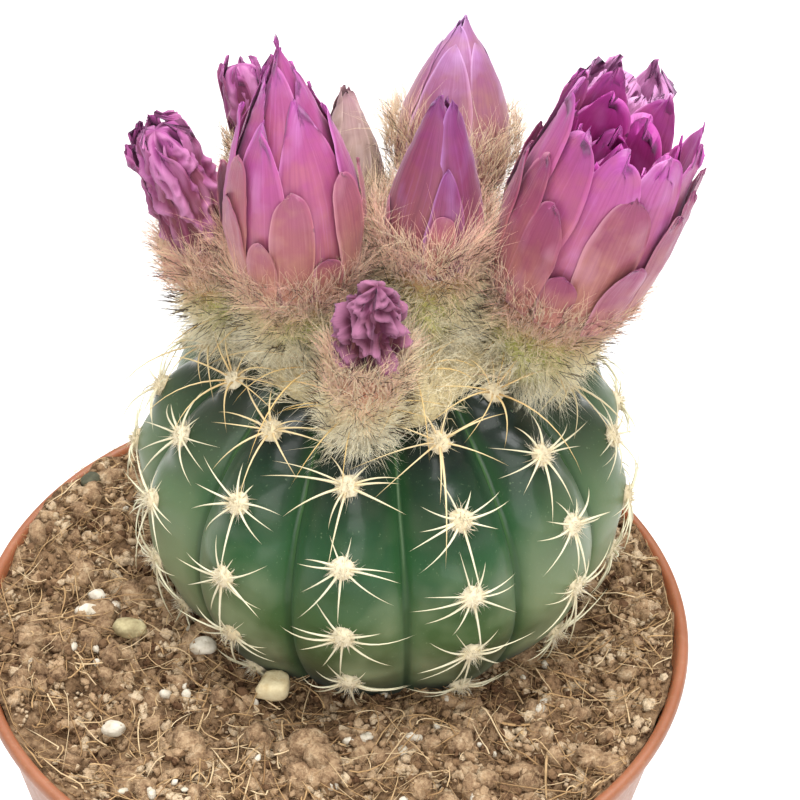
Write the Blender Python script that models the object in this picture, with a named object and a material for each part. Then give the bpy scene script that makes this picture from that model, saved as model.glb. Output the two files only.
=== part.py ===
"""A potted round cactus: a ribbed globe in a thin nursery pot, with nine woolly flowers on its crown.

Units are metres, +Z is up, and the origin is at the centre of the pot's foot. -Y is the plant's front.
Pieces that touch in the real plant keep GAP between them, so that no two solids overlap.
"""

import math

import bpy
import numpy as np
from mathutils import Matrix, Vector

MM = 0.001
GAP = 0.3 * MM

# Pot: a thin tapered wall with a rolled bead for a rim.
POT_TOP_RADIUS = 52.5 * MM
POT_HEIGHT = 85 * MM
POT_FOOT_RADIUS = 37.5 * MM
WALL = 0.9 * MM
FLOOR = 1.6 * MM
BEAD_WIDTH = 0.8 * MM
BEAD_HEIGHT = 2.2 * MM
DRAIN_HOLES = 6
DRAIN_RADIUS = 4 * MM
DRAIN_CIRCLE = 23 * MM

# Soil: nearly level with the rim, heaped on the left.
SOIL_LEVEL = POT_HEIGHT - 2.3 * MM
SOIL_HEAP = 1.6 * MM
SOIL_BANK = 1.5 * MM
SOIL_SECTORS = 40
SOIL_RINGS = 5

# Globe: an oblate body, wider below its equator's upper half, leaning a little to the left.
RIBS = 13
GLOBE_CENTRE = Vector((6.3, 13.2, 102.6)) * MM
GLOBE_LEAN = math.radians(-2.7)
GLOBE_RADIUS = 36.0 * MM
CROWN_HEIGHT = 27 * MM
KEEL_DEPTH = 34 * MM
LOWEST_LATITUDE = math.radians(-62)
FIRST_RIB = math.radians(20.9)
RIB_PITCH = 2 * math.pi / RIBS
GROOVE_DEPTH = 0.105
RIB_SIDES = 4
ROOT_RADIUS = 5 * MM
ROOT_LENGTH = 22 * MM

# Areoles: one row of woolly cushions down each rib, each joined to the next by its long lowest spine.
AREOLE_SPACING = 10.6 * MM
AREOLE_RADIUS = 2.2 * MM
AREOLE_HEIGHT = 1.1 * MM
SPINE_RADIUS = 0.4 * MM
# How far above the equator each rib's highest bare areole sits, from the first rib round to the right.
TOP_AREOLES = [distance * MM for distance in (24.5, 28, 21, 25, 27, 22, 26, 27, 22, 25, 27, 24.5, 19.5)]

# Wool: a low cushion over the crown, between the flowers.
WOOL_REACH = 17 * MM
WOOL_THICKNESS = 4.2 * MM

# Flowers: (name, foot's turn in degrees from the front towards the right, foot's distance from the plant's axis,
# tip, length of the tube, widest radius, kind). Lengths in millimetres; a tip is in the pot's frame.
FLOWERS = (
    ("front_left_flower", -65, 11.0, (-7.6, 3.5, 173), 14, 9.6, "open"),
    ("right_flower", 78, 21.0, (38.5, 5.0, 171), 14, 11.0, "open"),
    ("front_bud", 54, 8.0, (12.9, 6.0, 166.3), 17, 6.8, "bud"),
    ("back_bud", 134, 12.0, (15.4, 26, 168.1), 19, 7.4, "bud"),
    ("small_back_bud", -157, 9.0, (-0.4, 30, 155.6), 12, 4.8, "small"),
    ("left_withered_flower", -95, 19.0, (-25.5, 14, 157.3), 14, 5.0, "withered"),
    ("back_left_withered_flower", -122, 18.0, (-15.5, 29, 161), 18, 3.0, "withered"),
    ("back_right_withered_flower", 112, 20.0, (41.2, 28, 162), 18, 5.8, "withered"),
    ("front_withered_flower", -6, 19.5, (5.4, -8.5, 147.7), 8, 4.6, "withered"),
)
FOOT_LIFT = 0.9 * MM
TUBE_FOOT_RADIUS = 2.5 * MM
TEPAL_THICKNESS = 0.8 * MM
TEPALS = 7

# Loose grains that lie on the soil: (name, x, y, radius along the longest side), heights come from the soil.
GRAINS = (
    ("white_grain_1", -36.3, -3.7, 1.8),
    ("white_grain_2", -35.6, 0.2, 1.4),
    ("white_grain_3", -18.7, -10.5, 1.8),
    ("white_grain_4", -29.5, -25.0, 1.5),
    ("beige_stone", -29.5, -8.0, 2.6),
    ("cream_chip", -8.1, -17.0, 2.3),
)


def material(name, colour, roughness, metallic=0.0):
    """A plain Principled material of one colour."""
    made = bpy.data.materials.new(name)
    made.use_nodes = True
    shader = made.node_tree.nodes["Principled BSDF"]
    shader.inputs["Base Color"].default_value = (*colour, 1)
    shader.inputs["Roughness"].default_value = roughness
    shader.inputs["Metallic"].default_value = metallic
    return made


def add_mesh(name, points, faces, finish):
    """One object from its points and faces, in the scene's own collection, shaded smooth."""
    mesh = bpy.data.meshes.new(name)
    mesh.from_pydata([tuple(point) for point in points], [], faces)
    mesh.validate()
    mesh.shade_smooth()
    mesh.set_sharp_from_angle(angle=math.radians(50))
    if finish:
        mesh.materials.append(finish)
    piece = bpy.data.objects.new(name, mesh)
    bpy.context.scene.collection.objects.link(piece)
    return piece


def loft(name, start, rings, end, finish):
    """A closed skin from the point start, through equal rings of points, to the point end.

    Each ring runs anticlockwise seen from the end, so the faces point out.
    """
    rings = np.asarray(rings, float)
    rows, around = rings.shape[:2]
    points = np.vstack([np.reshape(start, (1, 3)), rings.reshape(-1, 3), np.reshape(end, (1, 3))])
    last = len(points) - 1
    faces = []
    for j in range(around):
        k = (j + 1) % around
        faces.append((0, 1 + k, 1 + j))
        for i in range(rows - 1):
            low, high = 1 + i * around, 1 + (i + 1) * around
            faces.append((low + j, low + k, high + k, high + j))
        top = 1 + (rows - 1) * around
        faces.append((top + j, top + k, last))
    return add_mesh(name, points, faces, finish)


def subtract(piece, cutter):
    """Cut one hidden helper object out of a piece."""
    cutter.hide_render = True
    cutter.display_type = "WIRE"
    cut = piece.modifiers.new("Cut " + cutter.name, "BOOLEAN")
    cut.operation = "DIFFERENCE"
    cut.solver = "EXACT"
    cut.object = cutter


def circle(count):
    """Unit circle points, anticlockwise from +X."""
    turn = np.arange(count) * 2 * math.pi / count
    return np.cos(turn), np.sin(turn)


# --- Pot ---------------------------------------------------------------------------------------------


def outer_radius(z):
    """The pot's outer radius at a height: a straight taper to just under the bead."""
    return POT_FOOT_RADIUS + (POT_TOP_RADIUS - BEAD_WIDTH - POT_FOOT_RADIUS) * z / POT_HEIGHT


def make_pot(finish):
    """The turned wall with its rim bead, and a ring of drainage holes through the floor."""
    steps = 5
    bead = [
        (
            outer_radius(POT_HEIGHT) + BEAD_WIDTH * math.sin(math.pi * i / steps),
            POT_HEIGHT - BEAD_HEIGHT / 2 * (1 + math.cos(math.pi * i / steps)),
        )
        for i in range(steps + 1)
    ]
    outline = [
        (POT_FOOT_RADIUS - 1.5 * MM, 0),
        (outer_radius(1.5 * MM), 1.5 * MM),
        (outer_radius(POT_HEIGHT / 2), POT_HEIGHT / 2),
        *bead,
        (outer_radius(POT_HEIGHT) - WALL, POT_HEIGHT - 0.4 * MM),
        (outer_radius(POT_HEIGHT / 2) - WALL, POT_HEIGHT / 2),
        (outer_radius(FLOOR) - WALL, FLOOR),
    ]
    cos, sin = circle(64)
    rings = [np.stack([r * cos, r * sin, np.full_like(cos, z)], 1) for r, z in outline]
    pot = loft("pot", (0, 0, 0), rings, (0, 0, FLOOR), finish)
    for i in range(DRAIN_HOLES):
        turn = 2 * math.pi * (i + 0.42) / DRAIN_HOLES
        x, y = DRAIN_CIRCLE * math.cos(turn), DRAIN_CIRCLE * math.sin(turn)
        cos, sin = circle(16)
        hole = [
            np.stack([x + DRAIN_RADIUS * cos, y + DRAIN_RADIUS * sin, np.full_like(cos, z)], 1)
            for z in (-2 * MM, FLOOR + 2 * MM)
        ]
        cutter = loft(f"drain_cutter_{i + 1}", (x, y, -2 * MM), hole, (x, y, FLOOR + 2 * MM), None)
        subtract(pot, cutter)
    return pot


# --- Globe -------------------------------------------------------------------------------------------


def globe_profile(latitude):
    """Crest radius and height at a latitude, about the globe's own centre."""
    height = CROWN_HEIGHT if latitude > 0 else KEEL_DEPTH
    return GLOBE_RADIUS * math.cos(latitude), height * math.sin(latitude)


def rib_factor(azimuth, depth):
    """1 on a rib's crest, falling to 1 - depth in the groove, with a broad round crest."""
    return 1 - depth * (1 - np.abs(np.cos((azimuth - FIRST_RIB) / RIB_PITCH * math.pi)) ** 0.8)


def globe_rings(swell):
    """The globe's rings from its root to its crown, grown outwards by swell."""
    azimuth = FIRST_RIB + np.arange(RIBS * RIB_SIDES) * RIB_PITCH / RIB_SIDES
    low_radius, low_z = globe_profile(LOWEST_LATITUDE)
    outline = [(ROOT_RADIUS * 0.6, low_z - ROOT_LENGTH, 0), (ROOT_RADIUS, low_z - ROOT_LENGTH / 2, 0)]
    for latitude in np.radians((-62, -50, -38, -26, -13, 0, 13, 26, 39, 52, 64, 75, 84)):
        radius, z = globe_profile(latitude)
        outline.append((radius, z, GROOVE_DEPTH))
    rings = []
    for radius, z, depth in outline:
        r = radius * rib_factor(azimuth, depth) + swell
        rings.append(np.stack([r * np.sin(azimuth), -r * np.cos(azimuth), np.full_like(r, z)], 1))
    return np.array(rings)


def make_globe(name, plant, swell, finish):
    """The ribbed body with its root stub, about the plant's centre."""
    rings = globe_rings(swell)
    bottom = (0, 0, rings[0, 0, 2] - 2 * MM - swell)
    globe = loft(name, bottom, rings, (0, 0, CROWN_HEIGHT - 0.6 * MM + swell), finish)
    globe.parent = plant
    return globe


def crest_table():
    """Arc distance above the equator, latitude, crest radius and height, for walking along a crest."""
    latitude = np.radians(np.linspace(-62, 88, 301))
    radius = GLOBE_RADIUS * np.cos(latitude)
    z = np.where(latitude > 0, CROWN_HEIGHT, KEEL_DEPTH) * np.sin(latitude)
    arc = np.concatenate([[0], np.cumsum(np.hypot(np.diff(radius), np.diff(z)))])
    return arc - np.interp(0, latitude, arc), radius, z


def areole_row(index, plant, finish):
    """One rib's areoles: a strip along the crest that swells at each cushion and thins to the spine below it."""
    arc, radius, z = crest_table()
    azimuth = FIRST_RIB + index * RIB_PITCH
    outward = np.array([math.sin(azimuth), -math.cos(azimuth), 0])
    across = np.array([math.cos(azimuth), math.sin(azimuth), 0])

    def crest(distance):
        """The point of this crest at an arc distance above the equator, about the globe's centre."""
        return np.interp(distance, arc, radius) * outward + np.array([0, 0, np.interp(distance, arc, z)])

    def is_clear(distance):
        """Whether a cushion at this distance stays above the soil."""
        place = plant.matrix_basis @ Vector(crest(distance))
        return place.z > soil_height(place.x, place.y) + AREOLE_RADIUS + 2 * GAP

    stations = []
    place = TOP_AREOLES[index]
    while is_clear(place):
        for step, size in ((1.0, 0.45), (0.55, 1.0), (-0.35, 1.0), (-1.0, 0.5)):
            stations.append((place + step * AREOLE_RADIUS, size))
        place -= AREOLE_SPACING
        if is_clear(place):
            stations.append((place + 2.0 * AREOLE_RADIUS, 0.0))
    cos, sin = circle(6)
    rings = []
    for distance, size in stations:
        slope = crest(distance + MM) - crest(distance)
        slope /= np.linalg.norm(slope)
        normal = np.cross(across, slope)
        width = SPINE_RADIUS + size * (AREOLE_RADIUS - SPINE_RADIUS)
        height = SPINE_RADIUS + size * (AREOLE_HEIGHT / 2 - SPINE_RADIUS)
        centre = crest(distance) + normal * (GAP + AREOLE_HEIGHT / 2)
        rings.append([centre + width * c * across + height * s * normal for c, s in zip(cos, sin)])
    ends = [np.mean(ring, axis=0) for ring in (rings[0], rings[-1])]
    row = loft(f"areole_row_{index + 1:02d}", ends[0], rings, ends[1], finish)
    row.parent = plant
    return row


# --- Soil --------------------------------------------------------------------------------------------


def soil_height(x, y):
    """The soil's surface: a heap at the back left, rises round the plant and along the wall, and broad swells."""
    back_left = np.clip((0.5 * y - 0.85 * x) / POT_TOP_RADIUS, -0.3, 1)
    away = np.hypot(x - GLOBE_CENTRE.x, y - GLOBE_CENTRE.y) / GLOBE_RADIUS
    rise = 1.3 * MM * np.exp(-((away / 1.05) ** 4))
    swells = 0.45 * MM * (np.sin(x * 160 + y * 90) + np.sin(y * 210 - x * 70 + 1.3))
    bank = SOIL_BANK * np.clip(np.hypot(x, y) / POT_TOP_RADIUS * 5 - 3.8, 0, 1) ** 2
    return SOIL_LEVEL + SOIL_HEAP * back_left + rise + swells + bank


def make_soil(plant, finish):
    """A plug that fills the pot's inside, with the globe's buried part cut out of it."""
    cos, sin = circle(SOIL_SECTORS)

    def wall(z):
        return (outer_radius(z) - WALL - GAP) * math.cos(math.pi / SOIL_SECTORS)

    foot = FLOOR + GAP
    rings = [np.stack([wall(foot) * cos, wall(foot) * sin, np.full_like(cos, foot)], 1)]
    edge = wall(SOIL_LEVEL)
    for i in range(SOIL_RINGS, 0, -1):
        x, y = edge * i / SOIL_RINGS * cos, edge * i / SOIL_RINGS * sin
        rings.append(np.stack([x, y, soil_height(x, y)], 1))
    soil = loft("soil", (0, 0, foot), rings, (0, 0, float(soil_height(0, 0))), finish)
    subtract(soil, make_globe("buried_globe_cutter", plant, GAP, None))
    return soil


def make_grain(name, x, y, size, finish):
    """One rounded grain that lies on the soil."""
    x, y, size = x * MM, y * MM, size * MM
    cos, sin = circle(9)
    centre = float(soil_height(x, y)) + 0.75 * size + GAP + 0.35 * MM
    rings = []
    for latitude in np.radians((-55, -20, 15, 52)):
        reach = size * math.cos(latitude) * (1 + 0.12 * np.sin(np.arange(9) * 2.4 + size / MM))
        height = np.full_like(cos, centre + 0.75 * size * math.sin(latitude))
        rings.append(np.stack([x + reach * cos, y + 0.8 * reach * sin, height], 1))
    return loft(name, (x, y, centre - 0.7 * size), rings, (x, y, centre + 0.7 * size), finish)


# --- Flowers -----------------------------------------------------------------------------------------


def flower_frame(plant, turn, reach, tip):
    """The matrix that stands a flower on the crown with its own +Z towards its tip, and its length."""
    turn, reach = math.radians(turn), reach * MM
    height = CROWN_HEIGHT * math.sqrt(1 - (reach / GLOBE_RADIUS) ** 2) + FOOT_LIFT
    foot = plant.matrix_basis @ Vector((reach * math.sin(turn), -reach * math.cos(turn), height))
    along = Vector(tip) * MM - foot
    return Matrix.Translation(foot) @ along.to_track_quat("Z", "X").to_matrix().to_4x4(), along.length


def turned(name, outline, frame, finish, sides=12, lobes=0, lobe_depth=0.0, twist=0.0):
    """A closed shape turned about +Z from (radius, z) points between two poles.

    With lobes, every height above the first ring is scaled by a wave round the axis, which raises pointed lobes.
    """
    (_, z0), *body, (_, z1) = outline
    turn = np.arange(sides) * 2 * math.pi / sides + twist
    wave = 1 - lobe_depth * (1 - np.abs(np.cos(lobes * turn / 2))) if lobes else np.ones(sides)
    rings = []
    for radius, z in body:
        height = z0 + (z - z0) * wave
        rings.append(np.stack([radius * np.cos(turn), radius * np.sin(turn), height], 1))
    piece = loft(name, (0, 0, z0), rings, (0, 0, z1), finish)
    piece.matrix_world = frame
    return piece


def make_tube(name, frame, length, width, finish, swell=0.0):
    """The flower's stalk-like tube, a funnel from the crown to the cup."""
    outline = [
        (0, -swell),
        (TUBE_FOOT_RADIUS + swell, -swell),
        (TUBE_FOOT_RADIUS * 1.15 + swell, length * 0.35),
        (0.42 * width + swell + 0.4 * MM, length * 0.7),
        (0.60 * width + swell, length + swell),
        (0, length + swell),
    ]
    return turned(name, outline, frame, finish, sides=10)


def make_tepals(name, kind, frame, start, length, width, finishes):
    """The tepals above a tube: an outer cup with lobes and an inner spindle, or one body where they are one bundle."""
    outer_finish, inner_finish, withered_finish = finishes
    reach = length - start
    sides = TEPALS * 4
    if kind == "open":
        skin = [(0, start), (0.55 * width, start), (0.86 * width, start + 0.3 * reach)]
        skin += [(width, start + 0.62 * reach), (0.93 * width, start + 0.86 * reach)]
        inside = [(radius - TEPAL_THICKNESS, z + 0.4 * MM) for radius, z in reversed(skin[2:])]
        inside += [(0.55 * width - TEPAL_THICKNESS, start + TEPAL_THICKNESS * 1.3), (0, start + TEPAL_THICKNESS)]
        turned(name + "_outer_tepals", skin + inside, frame, outer_finish, sides, TEPALS, 0.32)
        core = start + TEPAL_THICKNESS * 1.3 + GAP
        limit = TEPAL_THICKNESS + 2 * GAP
        inner = [(0, core), (0.36 * width, core), (0.80 * width - limit, start + 0.36 * reach)]
        inner += [(0.86 * width - limit, start + 0.62 * reach), (0.5 * width, length * 0.965), (0, length * 0.93)]
        turned(name + "_inner_tepals", inner, frame, inner_finish, sides, TEPALS, 0.10, math.pi / TEPALS)
    elif kind == "bud":
        skin = [(0, start), (0.62 * width, start), (width, start + 0.32 * reach), (0.93 * width, start + 0.62 * reach)]
        inside = [(radius - TEPAL_THICKNESS, z + 0.3 * MM) for radius, z in reversed(skin[2:])]
        inside += [(0.62 * width - TEPAL_THICKNESS, start + TEPAL_THICKNESS * 1.3), (0, start + TEPAL_THICKNESS)]
        turned(name + "_outer_tepals", skin + inside, frame, outer_finish, sides, TEPALS, 0.22)
        core = start + TEPAL_THICKNESS * 1.3 + GAP
        limit = TEPAL_THICKNESS + 2 * GAP
        inner = [(0, core), (0.45 * width, core), (0.9 * width - limit, start + 0.34 * reach)]
        inner += [(0.74 * width - limit / 2, start + 0.64 * reach), (0.3 * width, start + 0.88 * reach), (0, length)]
        turned(name + "_inner_tepals", inner, frame, inner_finish, TEPALS * 2)
    elif kind == "small":
        bud = [(0, start), (0.6 * width, start), (width, start + 0.35 * reach)]
        bud += [(0.72 * width, start + 0.7 * reach), (0, length)]
        turned(name + "_tepals", bud, frame, withered_finish, 12)
    else:
        bundle = [(0, start), (0.6 * width, start), (width, start + 0.3 * reach), (0.86 * width, start + 0.6 * reach)]
        bundle += [(0.98 * width, start + 0.88 * reach), (0, length * 0.96)]
        turned(name + "_tepals", bundle, frame, withered_finish, 15, 5, 0.14)


def make_wool(plant, tubes, finish):
    """The cushion of wool over the crown, with a way through it for each flower's tube."""
    azimuth = np.arange(36) * 2 * math.pi / 36
    edge = WOOL_REACH * (1 + 0.08 * np.sin(3 * azimuth + 0.7) + 0.05 * np.sin(7 * azimuth))

    def cover(share, lift):
        """Points over the globe at a share of the way out to the wool's edge, lifted off the crests."""
        r = edge * share
        z = CROWN_HEIGHT * np.sqrt(1 - (r / GLOBE_RADIUS) ** 2) + lift
        return np.stack([r * np.sin(azimuth), -r * np.cos(azimuth), z], 1)

    below = [cover(share, GAP * 1.6) for share in (0.35, 0.7, 1.0)]
    above = [cover(share, WOOL_THICKNESS * depth) for share, depth in ((1.03, 0.45), (0.85, 0.9), (0.45, 1.0))]
    bottom, top = (0, 0, CROWN_HEIGHT + GAP * 1.6), (0, 0, CROWN_HEIGHT + WOOL_THICKNESS)
    wool = loft("crown_wool", bottom, below + above, top, finish)
    wool.parent = plant
    for tube in tubes:
        subtract(wool, tube)
    return wool


def main():
    """Clear the scene and build every piece of the plant and its pot."""
    for old in list(bpy.data.objects):
        bpy.data.objects.remove(old)

    terracotta = material("terracotta_plastic", (0.60, 0.24, 0.13), 0.45)
    earth = material("peat_soil", (0.36, 0.25, 0.16), 0.95)
    green = material("cactus_skin", (0.04, 0.13, 0.06), 0.45)
    cream = material("areole_wool", (0.80, 0.72, 0.50), 0.9)
    wool = material("crown_wool_fibre", (0.70, 0.56, 0.40), 0.95)
    tube_wool = material("flower_tube_wool", (0.62, 0.43, 0.30), 0.95)
    outer = material("outer_tepal_pink", (0.66, 0.22, 0.38), 0.5)
    inner = material("inner_tepal_magenta", (0.50, 0.08, 0.34), 0.45)
    withered = material("withered_tepal", (0.30, 0.07, 0.22), 0.7)
    white = material("white_mineral", (0.85, 0.84, 0.80), 0.8)
    beige = material("beige_stone", (0.58, 0.46, 0.30), 0.8)

    plant = bpy.data.objects.new("plant", None)
    bpy.context.scene.collection.objects.link(plant)
    plant.location = GLOBE_CENTRE
    plant.rotation_euler = (0, GLOBE_LEAN, 0)

    make_pot(terracotta)
    make_soil(plant, earth)
    make_globe("cactus_body", plant, 0.0, green)
    for index in range(RIBS):
        areole_row(index, plant, cream)

    ways = []
    for name, turn, reach, tip, tube, width, kind in FLOWERS:
        frame, length = flower_frame(plant, turn, reach, tip)
        make_tube(name + "_tube", frame, tube * MM, width * MM, tube_wool)
        ways.append(make_tube(name + "_way_cutter", frame, tube * MM, width * MM, None, GAP))
        start = tube * MM + GAP
        make_tepals(name, kind, frame, start, length, width * MM, (outer, inner, withered))
    make_wool(plant, ways, wool)

    for name, x, y, size in GRAINS:
        make_grain(name, x, y, size, white if name.startswith("white") else beige)


main()
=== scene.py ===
"""Looks of a potted round cactus in flower: pot, soil, ribbed body, spines, wool and petals, in metres."""

import math

import bpy
import numpy as np
from mathutils import Matrix, Vector


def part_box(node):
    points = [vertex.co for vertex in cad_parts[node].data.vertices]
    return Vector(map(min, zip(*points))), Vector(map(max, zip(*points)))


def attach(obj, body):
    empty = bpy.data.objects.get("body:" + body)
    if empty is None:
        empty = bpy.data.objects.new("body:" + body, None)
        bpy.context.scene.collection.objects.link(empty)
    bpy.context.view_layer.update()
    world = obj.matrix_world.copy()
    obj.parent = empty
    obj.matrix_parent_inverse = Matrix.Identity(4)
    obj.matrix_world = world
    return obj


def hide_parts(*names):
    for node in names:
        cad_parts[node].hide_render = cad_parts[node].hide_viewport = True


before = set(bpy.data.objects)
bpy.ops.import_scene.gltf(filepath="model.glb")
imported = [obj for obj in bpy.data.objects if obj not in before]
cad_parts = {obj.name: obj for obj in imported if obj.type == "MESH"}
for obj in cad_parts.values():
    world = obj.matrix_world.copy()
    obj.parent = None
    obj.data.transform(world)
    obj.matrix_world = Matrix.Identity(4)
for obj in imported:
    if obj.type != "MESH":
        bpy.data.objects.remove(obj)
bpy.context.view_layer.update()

MM = 0.001

# --- Pot ---------------------------------------------------------------------------------------------
# A thin nursery pot, moulded in terracotta-coloured plastic: a plain tapered wall that ends in a small
# rolled bead, and a flat foot with drainage holes. The soil and the plant stand in it.


def paint(red, green, blue):
    """A colour given as it looks on a screen, 0 to 255, turned into the linear values that shaders take."""
    shares = np.array([red, green, blue]) / 255
    return tuple(np.where(shares <= 0.04045, shares / 12.92, ((shares + 0.055) / 1.055) ** 2.4))


class Wire:
    """A shader value in an expression: each operation adds its Math node and gives the result's Wire."""

    def __init__(self, finish, socket):
        self.finish, self.socket = finish, socket

    def math(self, operation, *values):
        return self.finish.node("ShaderNodeMath", {"operation": operation}, dict(enumerate((self, *values))))

    def __add__(self, other):
        return self.math("ADD", other)

    def __mul__(self, other):
        return self.math("MULTIPLY", other)

    def __sub__(self, other):
        return self.math("SUBTRACT", other)

    def __rsub__(self, other):
        return self.finish.node("ShaderNodeMath", {"operation": "SUBTRACT"}, {0: other, 1: self})

    def __abs__(self):
        return self.math("ABSOLUTE")

    __radd__, __rmul__ = __add__, __mul__


class Finish:
    """A material being made. What is the same all over is set on its shader's own sockets."""

    def __init__(self, name, **constants):
        self.material = bpy.data.materials.new(name)
        self.material.use_nodes = True
        self.tree = self.material.node_tree
        self.shader = self.tree.nodes["Principled BSDF"]
        for socket, value in constants.items():
            self.put(self.shader.inputs[socket.replace("_", " ")], value)

    def put(self, socket, value):
        """Set a socket to a value, a colour as paint takes it, or link a Wire to it."""
        if isinstance(value, Wire):
            self.tree.links.new(value.socket, socket)
        elif isinstance(value, tuple) and socket.type == "RGBA":
            socket.default_value = (*paint(*value), 1)
        else:
            socket.default_value = value

    def node(self, kind, settings=None, inputs=None, output=0):
        """Any node: its settings first, then its sockets' values or links. Gives one output's Wire."""
        made = self.tree.nodes.new(kind)
        for key, value in (settings or {}).items():
            if key == "stops":
                elements = made.color_ramp.elements
                while len(elements) < len(value):
                    elements.new(0.5)
                for element, (position, colour) in zip(elements, value):
                    element.position, element.color = position, (*paint(*colour), 1)
            else:
                setattr(made, key, value)
        for key, value in (inputs or {}).items():
            self.put(made.inputs[key], value)
        return Wire(self, made.outputs[output])

    def place(self):
        """The piece's own coordinates, in metres."""
        return self.node("ShaderNodeTexCoord", output="Object")

    def parts(self, vector):
        """A vector's X, Y and Z."""
        split = self.node("ShaderNodeSeparateXYZ", None, {0: vector}).socket.node
        return [Wire(self, socket) for socket in split.outputs]

    def chart(self, name):
        """A UV map's two parts: how far along its skin a point is, and how far round it plus its shade."""
        return self.parts(self.node("ShaderNodeUVMap", {"uv_map": name}))[:2]

    def noise(self, size, detail=3.0, roughness=0.55, place=None):
        """Noise from 0 to 1 with features about this size in metres."""
        place = place or self.place()
        inputs = {"Vector": place, "Scale": 1 / size, "Detail": detail, "Roughness": roughness}
        return self.node("ShaderNodeTexNoise", {"noise_dimensions": "3D"}, inputs, "Fac")

    def ramp(self, value, *stops):
        """A colour read off a row of (position, colour) stops."""
        return self.node("ShaderNodeValToRGB", {"stops": stops}, {"Fac": value})

    def span(self, value, low, high, to_low=0.0, to_high=1.0):
        """A value stretched from one range to another, and kept inside it."""
        inputs = {"Value": value, "From Min": low, "From Max": high, "To Min": to_low, "To Max": to_high}
        return self.node("ShaderNodeMapRange", {"clamp": True}, inputs)

    def mix(self, share, first, second, blend="MIX"):
        """Two colours mixed, share of the second."""
        settings = {"data_type": "RGBA", "blend_type": blend}
        return self.node("ShaderNodeMix", settings, {"Factor": share, 6: first, 7: second}, 2)

    def colour(self, value):
        self.put(self.shader.inputs["Base Color"], value)

    def rough(self, value):
        self.put(self.shader.inputs["Roughness"], value)

    def bump(self, height, depth, strength=1.0):
        """Raise the surface by a height from 0 to 1 times depth in metres."""
        inputs = {"Height": height, "Distance": depth, "Strength": strength}
        self.put(self.shader.inputs["Normal"], self.node("ShaderNodeBump", None, inputs))


def skins(name, start, rings, end, finish, shade=0.0, spread=1.0, map_name="Along", fold=None):
    """Closed skins in one mesh, each drawn from its start point through its rings to its end point.

    rings[i, row, side] is a point of skin i, with the sides anticlockwise seen from the end. The UV map
    holds how far along its skin a corner is, 0 to 1, and how far round it, 0 to 1, times spread plus the
    skin's shade. A fold, one value to each ring point, becomes the point attribute Fold: 0 in a crease,
    1 on a ridge.
    """
    rings = np.asarray(rings, float)
    count, rows, sides = rings.shape[:3]
    start, end = np.reshape(start, (-1, 1, 3)), np.reshape(end, (-1, 1, 3))
    points = np.concatenate([start, rings.reshape(count, rows * sides, 3), end], 1).reshape(-1, 3)
    here = np.arange(sides)
    after = (here + 1) % sides
    low = 1 + np.arange(rows - 1)[:, None] * sides
    top, tip = 1 + (rows - 1) * sides, rows * sides + 1
    corners = np.concatenate(
        [
            np.stack([low + here, low + after, low + sides + after, low + sides + here], -1).ravel(),
            np.stack([0 * here, 1 + after, 1 + here], -1).ravel(),
            np.stack([top + here, top + after, 0 * here + tip], -1).ravel(),
        ]
    )
    turns = [[here, here + 1, here + 1, here]] * (rows - 1)
    turns += [[here + 0.5, here + 1, here], [here, here + 1, here + 0.5]]
    chart = np.zeros((count, len(corners), 2))
    chart[:, :, 0] = np.repeat(np.arange(rows + 2), [1] + [sides] * rows + [1])[corners] / (rows + 1)
    chart[:, :, 1] = np.concatenate([np.stack(each, -1).ravel() for each in turns]) / sides * spread
    chart[:, :, 1] += np.reshape(shade, (-1, 1))
    sizes = np.tile(np.repeat([4, 3], [sides * (rows - 1), sides * 2]), count)
    corners = corners + np.arange(count)[:, None] * (tip + 1)

    mesh = bpy.data.meshes.new(name)
    mesh.vertices.add(len(points))
    mesh.loops.add(corners.size)
    mesh.polygons.add(len(sizes))
    mesh.vertices.foreach_set("co", points.astype(np.float32).ravel())
    mesh.loops.foreach_set("vertex_index", corners.astype(np.int32).ravel())
    mesh.polygons.foreach_set("loop_start", (np.cumsum(sizes) - sizes).astype(np.int32))
    mesh.update(calc_edges=True)
    mesh.shade_smooth()
    mesh.uv_layers.new(name=map_name).uv.foreach_set("vector", chart.astype(np.float32).ravel())
    if fold is not None:
        fold = np.pad(np.reshape(fold, (count, rows * sides)), ((0, 0), (1, 1)), constant_values=0.5)
        mesh.attributes.new("Fold", "FLOAT", "POINT").data.foreach_set("value", fold.astype(np.float32).ravel())
    mesh.materials.append(finish.material)
    piece = bpy.data.objects.new(name, mesh)
    bpy.context.scene.collection.objects.link(piece)
    return piece


def hold(piece, slot, *nodes):
    """Ride on the pot and stand for the frame's nodes, which are hidden; the slot is not used."""
    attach(piece, "root")
    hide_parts(*nodes)
    return piece


def compass(count, first=0.0):
    """Turns from the front, anticlockwise from above, as their across and away parts."""
    turn = first + np.arange(count) * 2 * math.pi / count
    return np.sin(turn), -np.cos(turn)


def turned(outline, count):
    """The rings of a turned shape: each (radius, height) of the outline carried round the upright axis."""
    radius, height = np.array(outline, float).T
    across, away = compass(count)
    return np.stack([radius[:, None] * across, radius[:, None] * away, np.repeat(height[:, None], count, 1)], -1)


pot_low, pot_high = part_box("pot")
POT_HEIGHT = pot_high.z
RIM_RADIUS = (pot_high.x - pot_low.x) / 2
WALL = 0.9 * MM
FLOOR = 1.6 * MM
BEAD_WIDTH = 0.8 * MM
BEAD_HEIGHT = 2.2 * MM
FOOT_RADIUS = 37.5 * MM
FOOT_ROUNDING = 1.5 * MM
DRAIN_HOLES = 6
DRAIN_RADIUS = 4 * MM
DRAIN_CIRCLE = 23 * MM


def pot_radius(height):
    """The wall's outer radius: a straight taper from the foot to the rim."""
    return FOOT_RADIUS + (RIM_RADIUS - BEAD_WIDTH - FOOT_RADIUS) * height / POT_HEIGHT


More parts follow.
